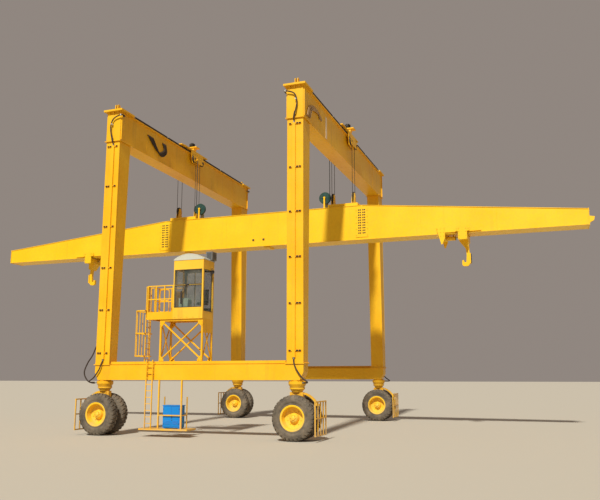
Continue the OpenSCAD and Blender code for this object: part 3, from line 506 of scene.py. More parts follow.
# Trolley cables lie on each other on the flange; white clips hold them and the head hoses.
clip_white = enamel("clip_white_enamel", (0.62, 0.62, 0.58, 1), (0.70, 0.68, 0.62, 1),
                    rust=0.3, streaks=0.2)
paint_on(hose_rubber, "beam_fittings")
clips, flange_cables = Forge(), Forge()
cable_end = 6.55
for sx in both:
    x = sx * portal_x + 0.43
    for height in (0.0565, 0.0915):
        flange_cables.rod((x, -cable_end - 0.01, beam_top + height),
                          (x, cable_end + 0.01, beam_top + height), 0.018, 10)
    for y in np.linspace(-cable_end, cable_end, 5):
        low_y = y - 0.03 * (1 + y / cable_end)
        clips.block(x - 0.021, x + 0.0205, low_y - 0.004, low_y + 0.064,
                    beam_top + 0.046, beam_top + 0.115, 0.003)
    for sy in both:
        y = sy * (half_span + 0.095)
        for x0, x1, inner, z0, z1 in ((-0.46, -0.40, 0.035, 15.068, 15.152),
                                      (0.02, 0.10, 0.095, 14.66, 14.71)):
            clips.block(sx * (portal_x + x0), sx * (portal_x + x1), y - sy * inner, y + sy * 0.040,
                        z0, z1, 0.008)
clips.finish("white_cable_clips", "gantry", clip_white, "white_paint", 30)
flange_cables.finish("flange_cables", "gantry", hose_rubber, "cable_rubber", 50)

# A pale rust-stained plate is riveted to the right portal's outer web.
plate_tan = enamel("plate_tan_enamel", (0.88, 0.66, 0.42, 1), (0.92, 0.74, 0.52, 1),
                   rust=0.3, streaks=0.2)
web_x = portal_x + half_leg
plate_y0, plate_y1, plate_z0, plate_z1 = -4.33, -4.09, 13.93, 15.02
plate = Forge().block(web_x, web_x + 0.006, plate_y0, plate_y1, plate_z0, plate_z1, 0.002)
for z in (plate_z0 + 0.04, plate_z0 + 0.52, plate_z1 - 0.04):
    for y in (plate_y0 + 0.02, plate_y1 - 0.02):
        plate.rod((web_x + 0.005, y, z), (web_x + 0.012, y, z), 0.008, 10)
plate.finish("web_plate", "gantry", plate_tan, "white_paint", 30)


# ---- Slewing rings -------------------------------------------------------------------
# Cast slewing housings under the sills turn on ball rings, bolted from above all round.
# Grease squeezes out of the joint between the fixed and the turning half.
paint_on(yellow, "slew_flanges")
corners = {"nl": (-1, -1), "nr": (1, -1), "fl": (-1, 1), "fr": (1, 1)}
ring_low = 2.15
for tag, (sx, sy) in corners.items():
    x, y = sx * portal_x, sy * corner_y
    ring = bolt_circle((x, y, ring_low + 0.24), 0.332, 24, up, 0.5)
    bolts("ring_bolts_" + tag, "gantry", ring, 0.018, yellow)
    grease = Forge().lathe([(0.28, 0.0), (0.303, 0.001), (0.306, 0.008), (0.299, 0.018),
                            (0.28, 0.018)], (x, y, ring_low), up, 40)
    grease.finish("ring_grease_" + tag, "gantry", dark_steel, "dark_steel")


# ---- Steering yokes and wheel guards -------------------------------------------------
# A fabricated yoke reaches down between each pair of tyres and holds the axle.
# A barred guard hangs in front of the tyres; its flat bars are riveted where they cross.
guard_x, guard_half, rib_low, rib_high = 0.99, 0.73, 1.16, 1.94
for tag, (sx, sy) in corners.items():
    paint_on(yellow, "yoke_" + tag, "guard_" + tag)
    x, y = sx * portal_x, sy * corner_y
    rivets = grid((x + sx * (guard_x + 0.045), y, 0), (0,),
                  np.linspace(0.025 - guard_half, guard_half - 0.025, 5), (0.245, 0.925, 1.585),
                  (sx, 0, 0))
    rivets += bolt_circle((x, y, 2.08), 0.306, 12, down)
    bolts("guard_rivets_" + tag, "yoke_" + tag, rivets, 0.012, yellow)
    ribs = Forge()
    for side in both:
        for x0, x1 in ((x - 0.17, x - 0.15), (x + 0.15, x + 0.17)):
            ribs.outline([(x0, rib_low), (x1, rib_low), (x1, rib_high), (x0, rib_high)], 1,
                         y + side * 0.11, y + side * 0.145)
    ribs.finish("yoke_ribs_" + tag, "yoke_" + tag, yellow, "yellow_paint", 0)


# ---- Wheels --------------------------------------------------------------------------
# Dished steel rims in yellow enamel on one axle, each held by ten nuts round a capped hub.
# Big lugged tyres in grey-brown dusty rubber, with ribbed and slightly bulged sidewalls.
tyre_rubber = dusty_rubber("dusty_tyre_rubber", (0.038, 0.032, 0.026, 1),
                           (0.27, 0.21, 0.145, 1), 0.85)
tyre_radius, tyre_half, tyre_gap, rim_radius = 0.925, 0.225, 0.33, 0.505
tread, lug_depth, lug_count = 0.895, 0.03, 30
wall = ((0, -0.012), (0.03, 0.008), (0.06, 0.008), (0.075, 0.001), (0.1, 0.001), (0.115, 0.014),
        (0.19, 0.023), (0.24, 0.022), (0.26, 0.012), (0.275, 0.018), (0.32, -0.002),
        (0.355, -0.028), (0.39, -0.09))
lug_stations = ((0.022, 0.0, 0.62, -0.004), (0.12, 0.35, 0.6, -0.004),
                (0.195, 0.85, 0.56, -0.03), (0.229, 0.95, 0.5, -0.085))


def tyre(forge, centre):
    """One tyre round the Y axis, with its two rows of slanted lugs."""
    half = [(rim_radius + r, tyre_half + y) for r, y in wall]
    profile = half + [(tread, 0.0)] + [(r, -y) for r, y in reversed(half)] + [(rim_radius, 0.0)]
    forge.lathe(profile, centre, (0, 1, 0), 72)
    pitch = 2 * math.pi / lug_count
    for side in both:
        for i in range(lug_count):
            rings = []
            for y, lean, width, sunk in lug_stations:
                low = tread + sunk
                high = min(tyre_radius, low + lug_depth + 0.004)
                turns = [pitch * (i + 0.25 * side + lean * 0.55 + edge * width)
                         for edge in (-0.5, 0.5, 0.5, -0.5)]
                rings.append([centre + Vector((r * math.sin(t), side * y, r * math.cos(t)))
                              for r, t in zip((low, low, high, high), turns)])
            forge.skin(rings)


rim_yellow = enamel("wheel_yellow_enamel", (0.94, 0.56, 0.012, 1), (0.95, 0.60, 0.03, 1),
                    rust=0.4, streaks=0.15, dust_height=1.4)
for tag, (sx, sy) in corners.items():
    paint_on(rim_yellow, "rims_" + tag)
    centre, body = Vector((sx * portal_x, sy * corner_y, tyre_radius)), "wheels_" + tag
    pair, caps, rings, valves, nuts = Forge(), Forge(), Forge(), Forge(), []
    for twin in both:
        out = (0, twin, 0)
        middle, dish, hub, cap_face, ring_face = (
            centre + Vector((0, twin * y, 0))
            for y in (tyre_gap / 2 + tyre_half, 0.347, 0.495, 0.513, 0.617))
        tyre(pair, middle)
        nuts += bolt_circle(dish, 0.30, 10, out, 0.5) + bolt_circle(hub, 0.115, 6, out)
        caps.lathe([(pole, 0.0), (0.088, 0.0), (0.088, 0.014), (0.078, 0.024), (0.05, 0.034),
                    (pole, 0.038)], cap_face, out, 32)
        rings.lathe([(rim_radius - 0.045, -0.01), (rim_radius + 0.024, -0.002),
                     (rim_radius + 0.028, 0.008), (rim_radius + 0.018, 0.016),
                     (rim_radius - 0.012, 0.014), (rim_radius - 0.045, 0.004)],
                    ring_face, out, 64)
        valves.rod(centre + Vector((0.30, twin * 0.345, 0.30)),
                   centre + Vector((0.315, twin * 0.44, 0.315)), 0.009, 10)
    made = pair.finish("lugged_tyres_" + tag, body, tyre_rubber, "tyre_rubber", 35)
    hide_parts("tyres_" + tag)
    caps.finish("hub_caps_" + tag, body, rim_yellow, "yellow_paint")
    rings.finish("lock_rings_" + tag, body, rim_yellow, "yellow_paint")
    valves.finish("valves_" + tag, body, zinc, "grey_steel")
    bolts("wheel_nuts_" + tag, body, nuts, 0.02, rim_yellow)


# ---- Spreader beam -------------------------------------------------------------------
# A box girder of three sections, the ends tapered, bolted together through splice plates.
# Same enamel as the portals, a little cleaner. The splice bolts are real, but coloured dark steel
# as painted shadow, standing in for the shadows that their heads cast.
spreader_yellow = enamel("spreader_yellow_enamel", (0.92, 0.52, 0.005, 1), (0.94, 0.57, 0.012, 1),
                         rust=0.3, streaks=0.14, dust_height=0.1)
paint_on(spreader_yellow, "spreader_middle", "spreader_ends", "splices", "rope_blocks",
         "hook_stops", "hook_left", "hook_right")
spreader_low, spreader_high, splice_x, web, plate_face = 9.59, 11.44, 5.83, 0.535, 0.56
tip_x, tip_high, half_flange = 16.76, 10.37, 0.56
splice_shadow_columns, plain_columns = (-0.16, -0.07, 0.07, 0.16), (-0.29, 0.29)
splice_shadow_places, plain_places = [], []
for sx, sy in quarters:
    splice, facing = (sx * splice_x, sy * plate_face, 0), (0, sy, 0)
    splice_shadow_places += grid(splice, splice_shadow_columns, (0,),
                        np.linspace(spreader_low + 0.35, spreader_high - 0.27, 10), facing)
    plain_places += grid(splice, plain_columns, (0,),
                         np.linspace(spreader_low + 0.23, spreader_high - 0.30, 5), facing)
for sx in both:
    plain_places += grid((sx * (tip_x + 0.03), 0, 0), (0,), np.linspace(-0.42, 0.42, 5),
                         (spreader_low + 0.11, tip_high - 0.08), (sx, 0, 0))
bolts("splice_shadow_bolts", "spreader", splice_shadow_places, 0.026, dark_steel)
bolts("spreader_bolts", "spreader", plain_places, 0.02, spreader_yellow)


def top_at(x):
    slope = (tip_high - spreader_high) / (tip_x - splice_x)
    return spreader_high + slope * max(0.0, x - splice_x)


seams, pads = Forge(), Forge()
seam_in, spot_z = 0.034, spreader_low + 0.38
for y in (-web, web):
    for z in (spreader_high - seam_in, spreader_low + seam_in):
        seams.rod((0.05 - splice_x, y, z), (splice_x - 0.05, y, z), 0.007, 6)
    for sx in both:
        x0, x1 = splice_x + 0.07, tip_x - 0.04
        for z0, z1 in ((top_at(x0) - seam_in, top_at(x1) - seam_in), (spreader_low + seam_in,) * 2):
            seams.rod((sx * x0, y, z0), (sx * x1, y, z1), 0.007, 6)
        for x in (1.95, 8.9, 12.6):
            seams.rod((sx * x, y, spreader_low + 0.035), (sx * x, y, top_at(x) - 0.035), 0.006, 6)
for x in (-0.30, 0.30):
    pads.block(x - 0.056, x + 0.056, 0.0005 - plate_face, -0.008 - plate_face, spot_z - 0.046,
               spot_z + 0.046, 0.003)
    for bolt_x in (x - 0.035, x + 0.035):
        pads.rod((bolt_x, -0.006 - plate_face, spot_z), (bolt_x, -0.018 - plate_face, spot_z),
                 0.012, 6)
seams.finish("spreader_seams", "spreader", spreader_yellow, "yellow_paint")
pads.finish("spreader_pads", "spreader", dark_steel, "dark_steel", 30)

# The hook carriages hang by bolted claws on the ledges; a chromed rod slides in each barrel,
# and the plate hook carries a rubber pad on its outer face.
chrome = greased_steel("chromed_rod", (0.55, 0.55, 0.54, 1), (0.42, 0.40, 0.37, 1), 1.0, 0.12)
pad_rubber = dusty_rubber("hook_pad_rubber", (0.02, 0.02, 0.02, 1), (0.12, 0.10, 0.08, 1), 0.4)
hook_x, stop_x, rod_z, pad_z = 10.95, 9.87, 9.44, 8.38
for side, sx in (("left", -1), ("right", 1)):
    body = "hook_" + side
    sleeve = Forge().rod((sx * (hook_x - 0.415), 0, rod_z), (sx * (hook_x - 0.222), 0, rod_z),
                         0.0462, 28)
    sleeve.finish("rod_sleeve_" + side, body, chrome, "dark_steel")
    wiper = Forge().lathe([(0.052, 0.0), (0.10, 0.0), (0.105, 0.01), (0.07, 0.03), (0.052, 0.032)],
                          (sx * (hook_x - 0.42), 0, rod_z), (sx, 0, 0), 32)
    wiper.finish("rod_wiper_" + side, "spreader", pad_rubber, "cable_rubber")
    pad = Forge()
    for z, high, face, out, wide, edge in ((0, 0.24, 0.299, 0.318, 0.12, 0.006),
                                           (-0.13, 0.03, 0.317, 0.324, 0.11, 0.003),
                                           (0, 0.03, 0.317, 0.324, 0.11, 0.003),
                                           (0.13, 0.03, 0.317, 0.324, 0.11, 0.003)):
        pad.block(sx * (hook_x + face), sx * (hook_x + out), -wide, wide,
                  pad_z + z - high, pad_z + z + high, edge)
    pad.finish("hook_pad_" + side, body, pad_rubber, "cable_rubber", 30)
    claws, stops = [], []
    for sy in both:
        for places, x, y, steps, heights in (
                (claws, hook_x, 0.125, (-0.17, 0.17), (0.2, 0.05, -0.15, -0.29)),
                (claws, hook_x, 0.105, (-0.285, 0.285), (0.11, 0.20)),
                (stops, stop_x, 0.04, (-0.15, 0.0, 0.15), (0.27, 0.1, -0.1))):
            places += grid((sx * x, sy * (half_flange + y), spreader_low), steps, (0,), heights,
                           (0, sy, 0))
    bolts("hook_bolts_" + side, body, claws, 0.018, spreader_yellow)
    bolts("stop_bolts_" + side, "spreader", stops, 0.018, spreader_yellow)
    feed = Forge()
    for x, y in ((10.16, 0.05), (10.44, -0.05)):
        feed.tube([(sx * x, y, rod_z + 0.095), (sx * x, y, rod_z + 0.13),
                   (sx * (x + 0.02), y * 2.4, 9.586), (sx * (x + 0.02), y * 3, 9.60)], 0.014, 10)
    feed.finish("cylinder_hoses_" + side, "spreader", hose_rubber, "cable_rubber")


# ---- Trolleys, ropes and reels -------------------------------------------------------
# A trolley rolls on each cross beam; four rope falls run down its sides to the spreader.
# Greased steel sheaves, a finned motor, and a black supply cable wound on a dark green reel.
brown_steel = greased_steel("brown_greased_steel", (0.085, 0.06, 0.04, 1), (0.16, 0.10, 0.05, 1),
                            0.4, 0.45)
rope_steel = greased_steel("greased_wire_rope", (0.07, 0.065, 0.06, 1), (0.13, 0.10, 0.07, 1), 0.7)
reel_green = enamel("dark_green_enamel", (0.012, 0.045, 0.042, 1), (0.02, 0.07, 0.06, 1),
                    streaks=0.2, chips=0.2)
stand_grey = enamel("grey_enamel", (0.30, 0.31, 0.32, 1), (0.38, 0.39, 0.40, 1), streaks=0.3)
paint_on(yellow, "trolley_frames")
paint_on(brown_steel, "trolley_sheaves")
paint_on(dark_steel, "block_sheaves", "trolley_motors")
paint_on(stand_grey, "reel_stands")
paint_on(reel_green, "reel_left", "reel_right")
sheave_y, sheave_z, rope_x, rope_radius = 0.4643, 15.04, 0.57, 0.014
trolley_deck, motor_low, motor_high = 15.545, 16.14, 16.345
block_z, over_radius, under_radius = 12.06, 0.214, 0.25
caps, wraps, under, motors = Forge(), Forge(), Forge(), Forge()
trolley_places = []
for sx, out in quarters:
    x, outer = sx * portal_x + out * rope_x, sx * portal_x + out * 0.63
    for sy in both:
        caps.lathe([(pole, 0.0), (0.062, 0.0), (0.062, 0.012), (0.05, 0.02), (pole, 0.024)],
                   (outer, sy * sheave_y, sheave_z), (out, 0, 0), 28)
        wraps.tube([(x, sy * (sheave_y - over_radius * math.cos(a)),
                     sheave_z + over_radius * math.sin(a)) for a in np.linspace(0, math.pi, 14)],
                   rope_radius, 8, 0.03)
    under.tube([(x, under_radius * math.cos(a), block_z + under_radius * math.sin(a))
                for a in np.linspace(math.pi, 2 * math.pi, 18)], rope_radius, 8, 0.03)
    for z, ys in ((15.17, (0.20, 0.62)), (14.90, (0.25, 0.55))):
        trolley_places += grid((outer, 0, z), (0,), [sy * y for sy in both for y in ys], (0,),
                               (out, 0, 0))
    trolley_places += grid((sx * portal_x + out * 0.50, 0, trolley_deck), (0,),
                           (-1.7, -1.3, 0.7, 1.1), (0,), up)
for sx in both:
    x, y = sx * (portal_x + 0.13), 0.525
    profile = [(0.10, 0.0), (0.148, 0.0)]
    for fin in (0.022 + i * 0.024 for i in range(7)):
        profile += [(0.151, fin - 0.006), (0.166, fin - 0.004), (0.166, fin + 0.004),
                    (0.151, fin + 0.006)]
    motors.lathe(profile + [(0.148, 0.185), (0.10, 0.185)], (x, y, motor_low), up, 40)
    for a in (math.pi / 3 * i + 0.3 for i in range(6)):
        bolt_x, bolt_y = x + 0.09 * math.cos(a), y + 0.09 * math.sin(a)
        motors.rod((bolt_x, bolt_y, motor_high), (bolt_x, bolt_y, motor_high + 0.027), 0.012, 8)
    motors.block(x - 0.07, x + 0.07, y - 0.215, y - 0.14, motor_low + 0.02, motor_low + 0.14,
                 0.012)
    motors.tube([(x + 0.05, y - 0.19, motor_low + 0.03), (x + 0.06, y - 0.2, motor_low - 0.02),
                 (x + 0.10, y - 0.19, motor_low - 0.057)], 0.014, 10)
caps.finish("sheave_axle_caps", "trolleys", brown_steel, "dark_steel")
motors.finish("motor_fins", "trolleys", dark_steel, "dark_steel", 30)
bolts("trolley_bolts", "trolleys", trolley_places, 0.018, yellow)
wraps.finish("rope_over_sheaves", "trolleys", rope_steel, "dark_steel")
under.finish("rope_under_sheaves", "spreader", rope_steel, "dark_steel")

# Each fall is six round strands laid round each other.
falls, rope_strands, lay_length = Forge(), 6, 0.22
steps = int((sheave_z - block_z) / lay_length * 8)
strand_sides = [(math.cos(t), math.sin(t)) for t in (0, math.pi / 2, math.pi, 3 * math.pi / 2)]
for x in (-portal_x - rope_x, -portal_x + rope_x, portal_x - rope_x, portal_x + rope_x):
    for y in (-0.25, 0.25):
        for strand in range(rope_strands):
            rings = []
            for z in np.linspace(block_z, sheave_z, steps + 1):
                a = 2 * math.pi * ((z - block_z) / lay_length + strand / rope_strands)
                u, v = (x + rope_radius * 0.62 * math.cos(a), y + rope_radius * 0.62 * math.sin(a))
                rings.append([(u + rope_radius * 0.4 * c, v + rope_radius * 0.4 * s, z)
                              for c, s in strand_sides])
            falls.skin(rings)
rope = falls.finish("hoist_rope_falls", None, rope_steel, "dark_steel", 60)
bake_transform(rope)
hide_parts("hoist_ropes")

# The supply cable hangs from the trolley to the rim of its reel, which turns on a stand.
cable_rubber = dusty_rubber("black_cable_rubber", (0.018, 0.018, 0.019, 1),
                            (0.10, 0.09, 0.08, 1), 0.35)
reel_x, reel_z, reel_y, rib_y, cable_x, cable_top = 3.75, 12.04, -0.26, -0.3215, 4.01, 14.98
wound_radius, cable_radius = 0.262, 0.019
supply, block_places = Forge(), []
for side, sx in (("reel_left", -1), ("reel_right", 1)):
    x = sx * reel_x
    supply.rod((sx * cable_x, reel_y, reel_z), (sx * cable_x, reel_y, cable_top), cable_radius, 14)
    wound, ribs, bearing = Forge(), Forge(), Forge()
    for y in (-0.02, 0.02):
        turn = [(wound_radius + cable_radius * math.cos(a), y + cable_radius * math.sin(a))
                for a in np.linspace(0, 2 * math.pi, 11)[:-1]]
        wound.lathe(turn, (x, reel_y, reel_z), (0, 1, 0), 48)
    wound.finish("wound_cable_" + side, side, cable_rubber, "cable_rubber")
    for a in (math.pi / 3 * i for i in range(6)):
        u, v = math.cos(a), math.sin(a)
        ribs.rod((x + 0.10 * u, rib_y, reel_z + 0.10 * v),
                 (x + 0.30 * u, rib_y, reel_z + 0.30 * v), 0.011, 6)
    ribs.lathe([(0.300, -0.325), (0.322, -0.325), (0.322, -0.297), (0.300, -0.297)],
               (x, 0, reel_z), (0, 1, 0), 48)
    ribs.lathe([(pole, -0.35), (0.05, -0.35), (0.05, -0.362), (0.035, -0.368), (pole, -0.37)],
               (x, 0, reel_z), (0, 1, 0), 24)
    ribs.finish("reel_ribs_" + side, side, reel_green, "green_paint", 30)
    bearing.block(x - 0.13, x + 0.13, -0.48, -0.36, spreader_high, spreader_high + 0.014, 0.003)
    bearing.block(x - 0.04, x + 0.04, -0.45, -0.39, spreader_high + 0.01, reel_z + 0.05, 0.006)
    bearing.rod((x, -0.455, reel_z), (x, -0.372, reel_z), 0.055, 24)
    bearing.finish("reel_bearing_" + side, "spreader", spreader_yellow, "yellow_paint", 30)
    block_places += grid((x, 0, spreader_high + 0.06), (-0.1, 0.1), (-0.14, 0.07), (0,), up)
    block_places += grid((sx * portal_x, 0, spreader_high + 0.18), (-rope_x, rope_x),
                         (-0.36, 0.36), (0,), up)
supply_cable = supply.finish("supply_cables", None, cable_rubber, "cable_rubber")
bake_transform(supply_cable)
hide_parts("reel_cables")
bolts("block_bolts", "spreader", block_places, 0.018, spreader_yellow)


# ---- Operator's cab ------------------------------------------------------------------
# A pressed-steel box cab with panes in rubber gaskets, a wiper, a lamp and a mirror.
# Yellow outside, off-white arched roof cover with a folded rim, lightly tinted glass.
paint_on(yellow, "cab_door", "tower", "platform", "railing", "caged_ladder", "lower_ladder",
         "low_platform")
cab_x0, cab_x1, cab_y0, cab_y1 = -1.12, 0.37, -7.6, -6.55
middle_x, middle_y = (cab_x0 + cab_x1) / 2, (cab_y0 + cab_y1) / 2
lined = enamel("cab_enamel_and_lining", (0.90, 0.50, 0.03, 1), (0.92, 0.55, 0.05, 1),
               dust_height=0.1)
# The lining is grey inside the walls, above the floor and below the roof.
cab = Paint(lined.name)
outside = cab.shader["Base Color"].links[0].from_socket
axes = cab.add("SeparateXYZ", Vector=cab.place).outputs
inside = cab.combine("MULTIPLY", cab.ramp(axes["Z"], 5.3, 5.31), cab.ramp(axes["Z"], 7.73, 7.72))
for axis, middle, reach in (("X", middle_x, 0.745 - 0.055), ("Y", middle_y, 0.525 - 0.045)):
    inside = cab.combine("MULTIPLY", inside, cab.combine("COMPARE", axes[axis], middle, reach))
grain = cab.blend(cab.noise(6, 4), (0.10, 0.105, 0.10, 1), (0.16, 0.16, 0.15, 1))
cab.dress(Base_Color=cab.blend(inside, outside, grain))
paint_on(lined, "cab_shell")
white_enamel = enamel("off_white_enamel", (0.53, 0.53, 0.45, 1), (0.60, 0.59, 0.50, 1),
                      rust=0.25, streaks=0.3, dust_height=0.1)
unit_grey = enamel("unit_grey_enamel", (0.16, 0.17, 0.18, 1), (0.22, 0.23, 0.24, 1),
                   streaks=0.3, dust_height=0.1)
console_green = enamel("console_enamel", (0.32, 0.42, 0.33, 1), (0.38, 0.47, 0.38, 1),
                       rust=0.1, streaks=0.1, dust_height=0.1)
paint_on(white_enamel, "cab_roof")
paint_on(unit_grey, "roof_unit")
paint_on(console_green, "console")


def tinted_glass(name):
    paint = Paint(name)
    film = paint.ramp(paint.noise(3, 5), 0.35, 0.75)
    return paint.dress(Base_Color=paint.blend(film, (0.10, 0.13, 0.12, 1), (0.26, 0.24, 0.19, 1)),
                       Roughness=paint.ramp(paint.noise(5, 4), 0.3, 0.8, 0.03, 0.14),
                       Alpha=paint.ramp(paint.noise(2.2, 5), 0.35, 0.8, 0.16, 0.36))


paint_on(tinted_glass("tinted_cab_glass"), "cab_glass")
cab_floor, cab_top, deck_top = 5.12, 7.76, 5.46
window_low, window_bar, window_high, side_low = 5.65, 6.64, 7.31, 5.48
door_low, door_high = deck_top, deck_top + 1.95
gasket_rubber = dusty_rubber("gasket_rubber", (0.02, 0.02, 0.02, 1), (0.10, 0.085, 0.07, 1), 0.35)
gaskets, proud = Forge(), 0.008


def surround(a0, a1, z0, z1, wide=0.022):
    """The four rubber strips round a pane: places along the wall, then heights."""
    return ((a0 - wide, a1 + wide, z0 - wide, z0), (a0 - wide, a1 + wide, z1, z1 + wide),
            (a0 - wide, a0, z0, z1), (a1, a1 + wide, z0, z1))


front_panes = [(cab_x0 + 0.07, cab_x1 - 0.09, window_low, window_bar - 0.03),
               (cab_x0 + 0.07, cab_x1 - 0.09, window_bar + 0.03, window_high)]
for pane in front_panes:
    for x0, x1, z0, z1 in surround(*pane):
        gaskets.block(x0, x1, cab_y0, cab_y0 - proud, z0, z1, 0.003)
for y0, y1, z0, z1 in surround(cab_y0 + 0.11, cab_y1 - 0.11, side_low, window_high):
    gaskets.block(cab_x1, cab_x1 + proud, y0, y1, z0, z1, 0.003)
third = (cab_x1 - cab_x0 - 0.22) / 3
for x in (cab_x0 + 0.11 + i * third for i in range(3)):
    for x0, x1, z0, z1 in ((-0.006, third + 0.006, window_low - 0.02, window_low),
                           (-0.006, third + 0.006, window_high, window_high + 0.02),
                           (-0.004, 0.015, window_low, window_high),
                           (third - 0.015, third + 0.004, window_low, window_high)):
        gaskets.block(x + x0, x + x1, cab_y1, cab_y1 + proud, z0, z1, 0.003)
door_y0, door_y1 = cab_y0 + 0.24, cab_y1 - 0.24
for y0, y1, z0, z1 in ((door_y0, door_y1, door_low + 0.93, door_low + 0.95),
                       (door_y0, door_y1, door_high - 0.09, door_high - 0.07),
                       (door_y0 - 0.02, door_y0, door_low + 0.93, door_high - 0.07),
                       (door_y1, door_y1 + 0.02, door_low + 0.93, door_high - 0.07)):
    gaskets.block(cab_x0 + 0.003, cab_x0 + 0.01, y0, y1, z0, z1, 0.002)
gaskets.finish("window_gaskets", "gantry", gasket_rubber, "cable_rubber", 30)
door_pane = Forge().block(cab_x0 + 0.026, cab_x0 + 0.034, door_y0, door_y1, door_low + 0.95,
                          door_high - 0.09, 0.002)
door_pane.finish("door_pane", "gantry", tinted_glass("door_glass"), "cab_glass", 0)

# Hinges and handle of the door, the wiper with its motor above the bar, a work lamp
# under the roof's right end and a mirror on an arm at the front corner.
trim, wiper_x, blade_x = Forge(), -0.42, -0.70
lamp_y, lamp_z, mirror_y, mirror_z = -6.86, 7.40, -7.55, 6.34
for z in (door_low + 0.25, door_low + 1.05, door_high - 0.25):
    trim.rod((cab_x0 - 0.012, cab_y1 - 0.14, z - 0.05), (cab_x0 - 0.012, cab_y1 - 0.14, z + 0.05),
             0.014, 12)
trim.tube([(cab_x0 + x, cab_y0 + 0.20, door_low + z)
           for x, z in ((0.01, 0.86), (-0.05, 0.88), (-0.05, 1.10), (0.01, 1.12))], 0.012, 10, 0.03)
trim.block(wiper_x - 0.08, wiper_x + 0.08, cab_y0 - 0.055, cab_y0 + 0.002, window_bar - 0.026,
           window_bar + 0.026, 0.012)
trim.rod((wiper_x, cab_y0 - 0.05, window_bar), (blade_x, cab_y0 - 0.032, window_bar - 0.56),
         0.008, 10)
trim.block(blade_x - 0.045, blade_x + 0.045, cab_y0 - 0.036, cab_y0 - 0.022, window_bar - 0.86,
           window_bar - 0.28, 0.004)
trim.tube([(cab_x1, lamp_y, lamp_z), (cab_x1 + 0.07, lamp_y, lamp_z + 0.02),
           (cab_x1 + 0.10, lamp_y - 0.01, lamp_z - 0.04)], 0.014, 10, 0.03)
trim.lathe([(pole, 0.0), (0.05, 0.0), (0.085, 0.05), (0.09, 0.12), (0.078, 0.125), (0.07, 0.11),
            (pole, 0.10)], (cab_x1 + 0.085, lamp_y + 0.01, lamp_z - 0.10), (0.25, -0.85, -0.45), 28)
trim.block(cab_x1, cab_x1 + 0.05, lamp_y - 0.07, lamp_y + 0.06, lamp_z - 0.32, lamp_z - 0.18,
           0.008)
trim.tube([(cab_x1, mirror_y + 0.05, mirror_z + 0.08),
           (cab_x1 + 0.06, mirror_y + 0.02, mirror_z + 0.09),
           (cab_x1 + 0.07, mirror_y, mirror_z)], 0.010, 10, 0.03)
trim.block(cab_x1 + 0.02, cab_x1 + 0.13, mirror_y - 0.025, mirror_y, mirror_z - 0.20,
           mirror_z + 0.02, 0.010)
trim.finish("cab_trim", "gantry", dark_steel, "dark_steel", 35)

# Folded rims close the roof cover's ends, and a grille fills the roof unit's dark end.
roof, half_roof, rise = Forge(), 0.765, 0.24
radius = (half_roof * half_roof + rise * rise) / (2 * rise)
centre_z, lean = cab_top + 0.04 + rise - radius, math.asin(half_roof / radius)
rim = [(middle_x + r * math.sin(a), centre_z + r * math.cos(a))
       for r, way in ((radius + 0.006, 1), (radius - 0.035, -1))
       for a in np.linspace(-way * lean, way * lean, 17)]
for y0, y1 in ((cab_y0 - 0.022, cab_y0), (cab_y1, cab_y1 + 0.022)):
    roof.outline(rim, 1, y0, y1)
for dx in (-0.405, 0.005, 0.405):
    x, z = middle_x + dx, centre_z + radius * math.cos(dx / radius) + 0.002
    roof.rod((x, cab_y0 + 0.02, z), (x, cab_y1 - 0.02, z), 0.012, 8)
roof.finish("roof_rims", "gantry", white_enamel, "white_paint", 25)
grille, unit_end, unit_front = Forge(), 0.468, -6.966
for z in (cab_top + 0.10 + i * 0.045 for i in range(7)):
    grille.block(unit_end - 0.268, unit_end - 0.038, unit_front - 0.012, unit_front,
                 z, z + 0.018, 0.002)
    grille.block(unit_end, unit_end + 0.010, unit_front + 0.036, unit_front + 0.386,
                 z, z + 0.018, 0.002)
grille.finish("roof_unit_grille", "gantry", dark_steel, "dark_steel", 30)

# Console top: a green desk with a dark panel, push buttons and two control levers.
desk, levers, desk_top = Forge(), Forge(), deck_top + 0.604
desk_x0, desk_x1, desk_y0, desk_y1, lever_x = -0.885, -0.495, -7.455, -7.135, -0.55
desk.block(desk_x0, desk_x1, desk_y0, desk_y1, desk_top - 0.006, desk_top + 0.002, 0.002)
for x in (desk_x0 + 0.035 + i * 0.055 for i in range(5)):
    for y in (desk_y0 + 0.035, desk_y0 + 0.095, desk_y0 + 0.155):
        levers.rod((x, y, desk_top), (x, y, desk_top + 0.014), 0.012, 12)
for y in (desk_y0 + 0.055, desk_y0 + 0.255):
    levers.rod((lever_x - 0.01, y, desk_top), (lever_x, y, desk_top + 0.136), 0.009, 10)
    levers.rod((lever_x, y, desk_top + 0.126), (lever_x + 0.003, y, desk_top + 0.186), 0.022, 14)
desk.finish("console_panel", "gantry", dark_steel, "dark_steel", 30)
levers.finish("console_levers", "gantry", gasket_rubber, "cable_rubber", 30)

# Seat: two sewn vinyl cushions, swelled by cloth pressure, on a turned post and shell.
seat_vinyl = dusty_rubber("dark_green_seat_vinyl", (0.012, 0.026, 0.02, 1),
                          (0.06, 0.065, 0.05, 1), 0.3)
seat_x0, seat_x1, seat_y = -0.27, 0.19, -7.07
shell = Forge()
shell.lathe([(pole, 0.0), (0.13, 0.0), (0.13, 0.02), (0.055, 0.04), (0.05, 0.30), (0.09, 0.33),
             (pole, 0.33)], ((seat_x0 + seat_x1) / 2, seat_y + 0.20, deck_top), up, 32)
shell.block(seat_x0 + 0.02, seat_x1 - 0.02, seat_y + 0.01, seat_y + 0.40, deck_top + 0.33,
            deck_top + 0.36, 0.01)
shell.outline([(seat_y + y, deck_top + z)
               for y, z in ((0.405, 0.34), (0.42, 0.34), (0.452, 1.05), (0.435, 1.05))],
              0, seat_x0 + 0.03, seat_x1 - 0.03)
shell.finish("seat_frame", "gantry", dark_steel, "dark_steel", 30)


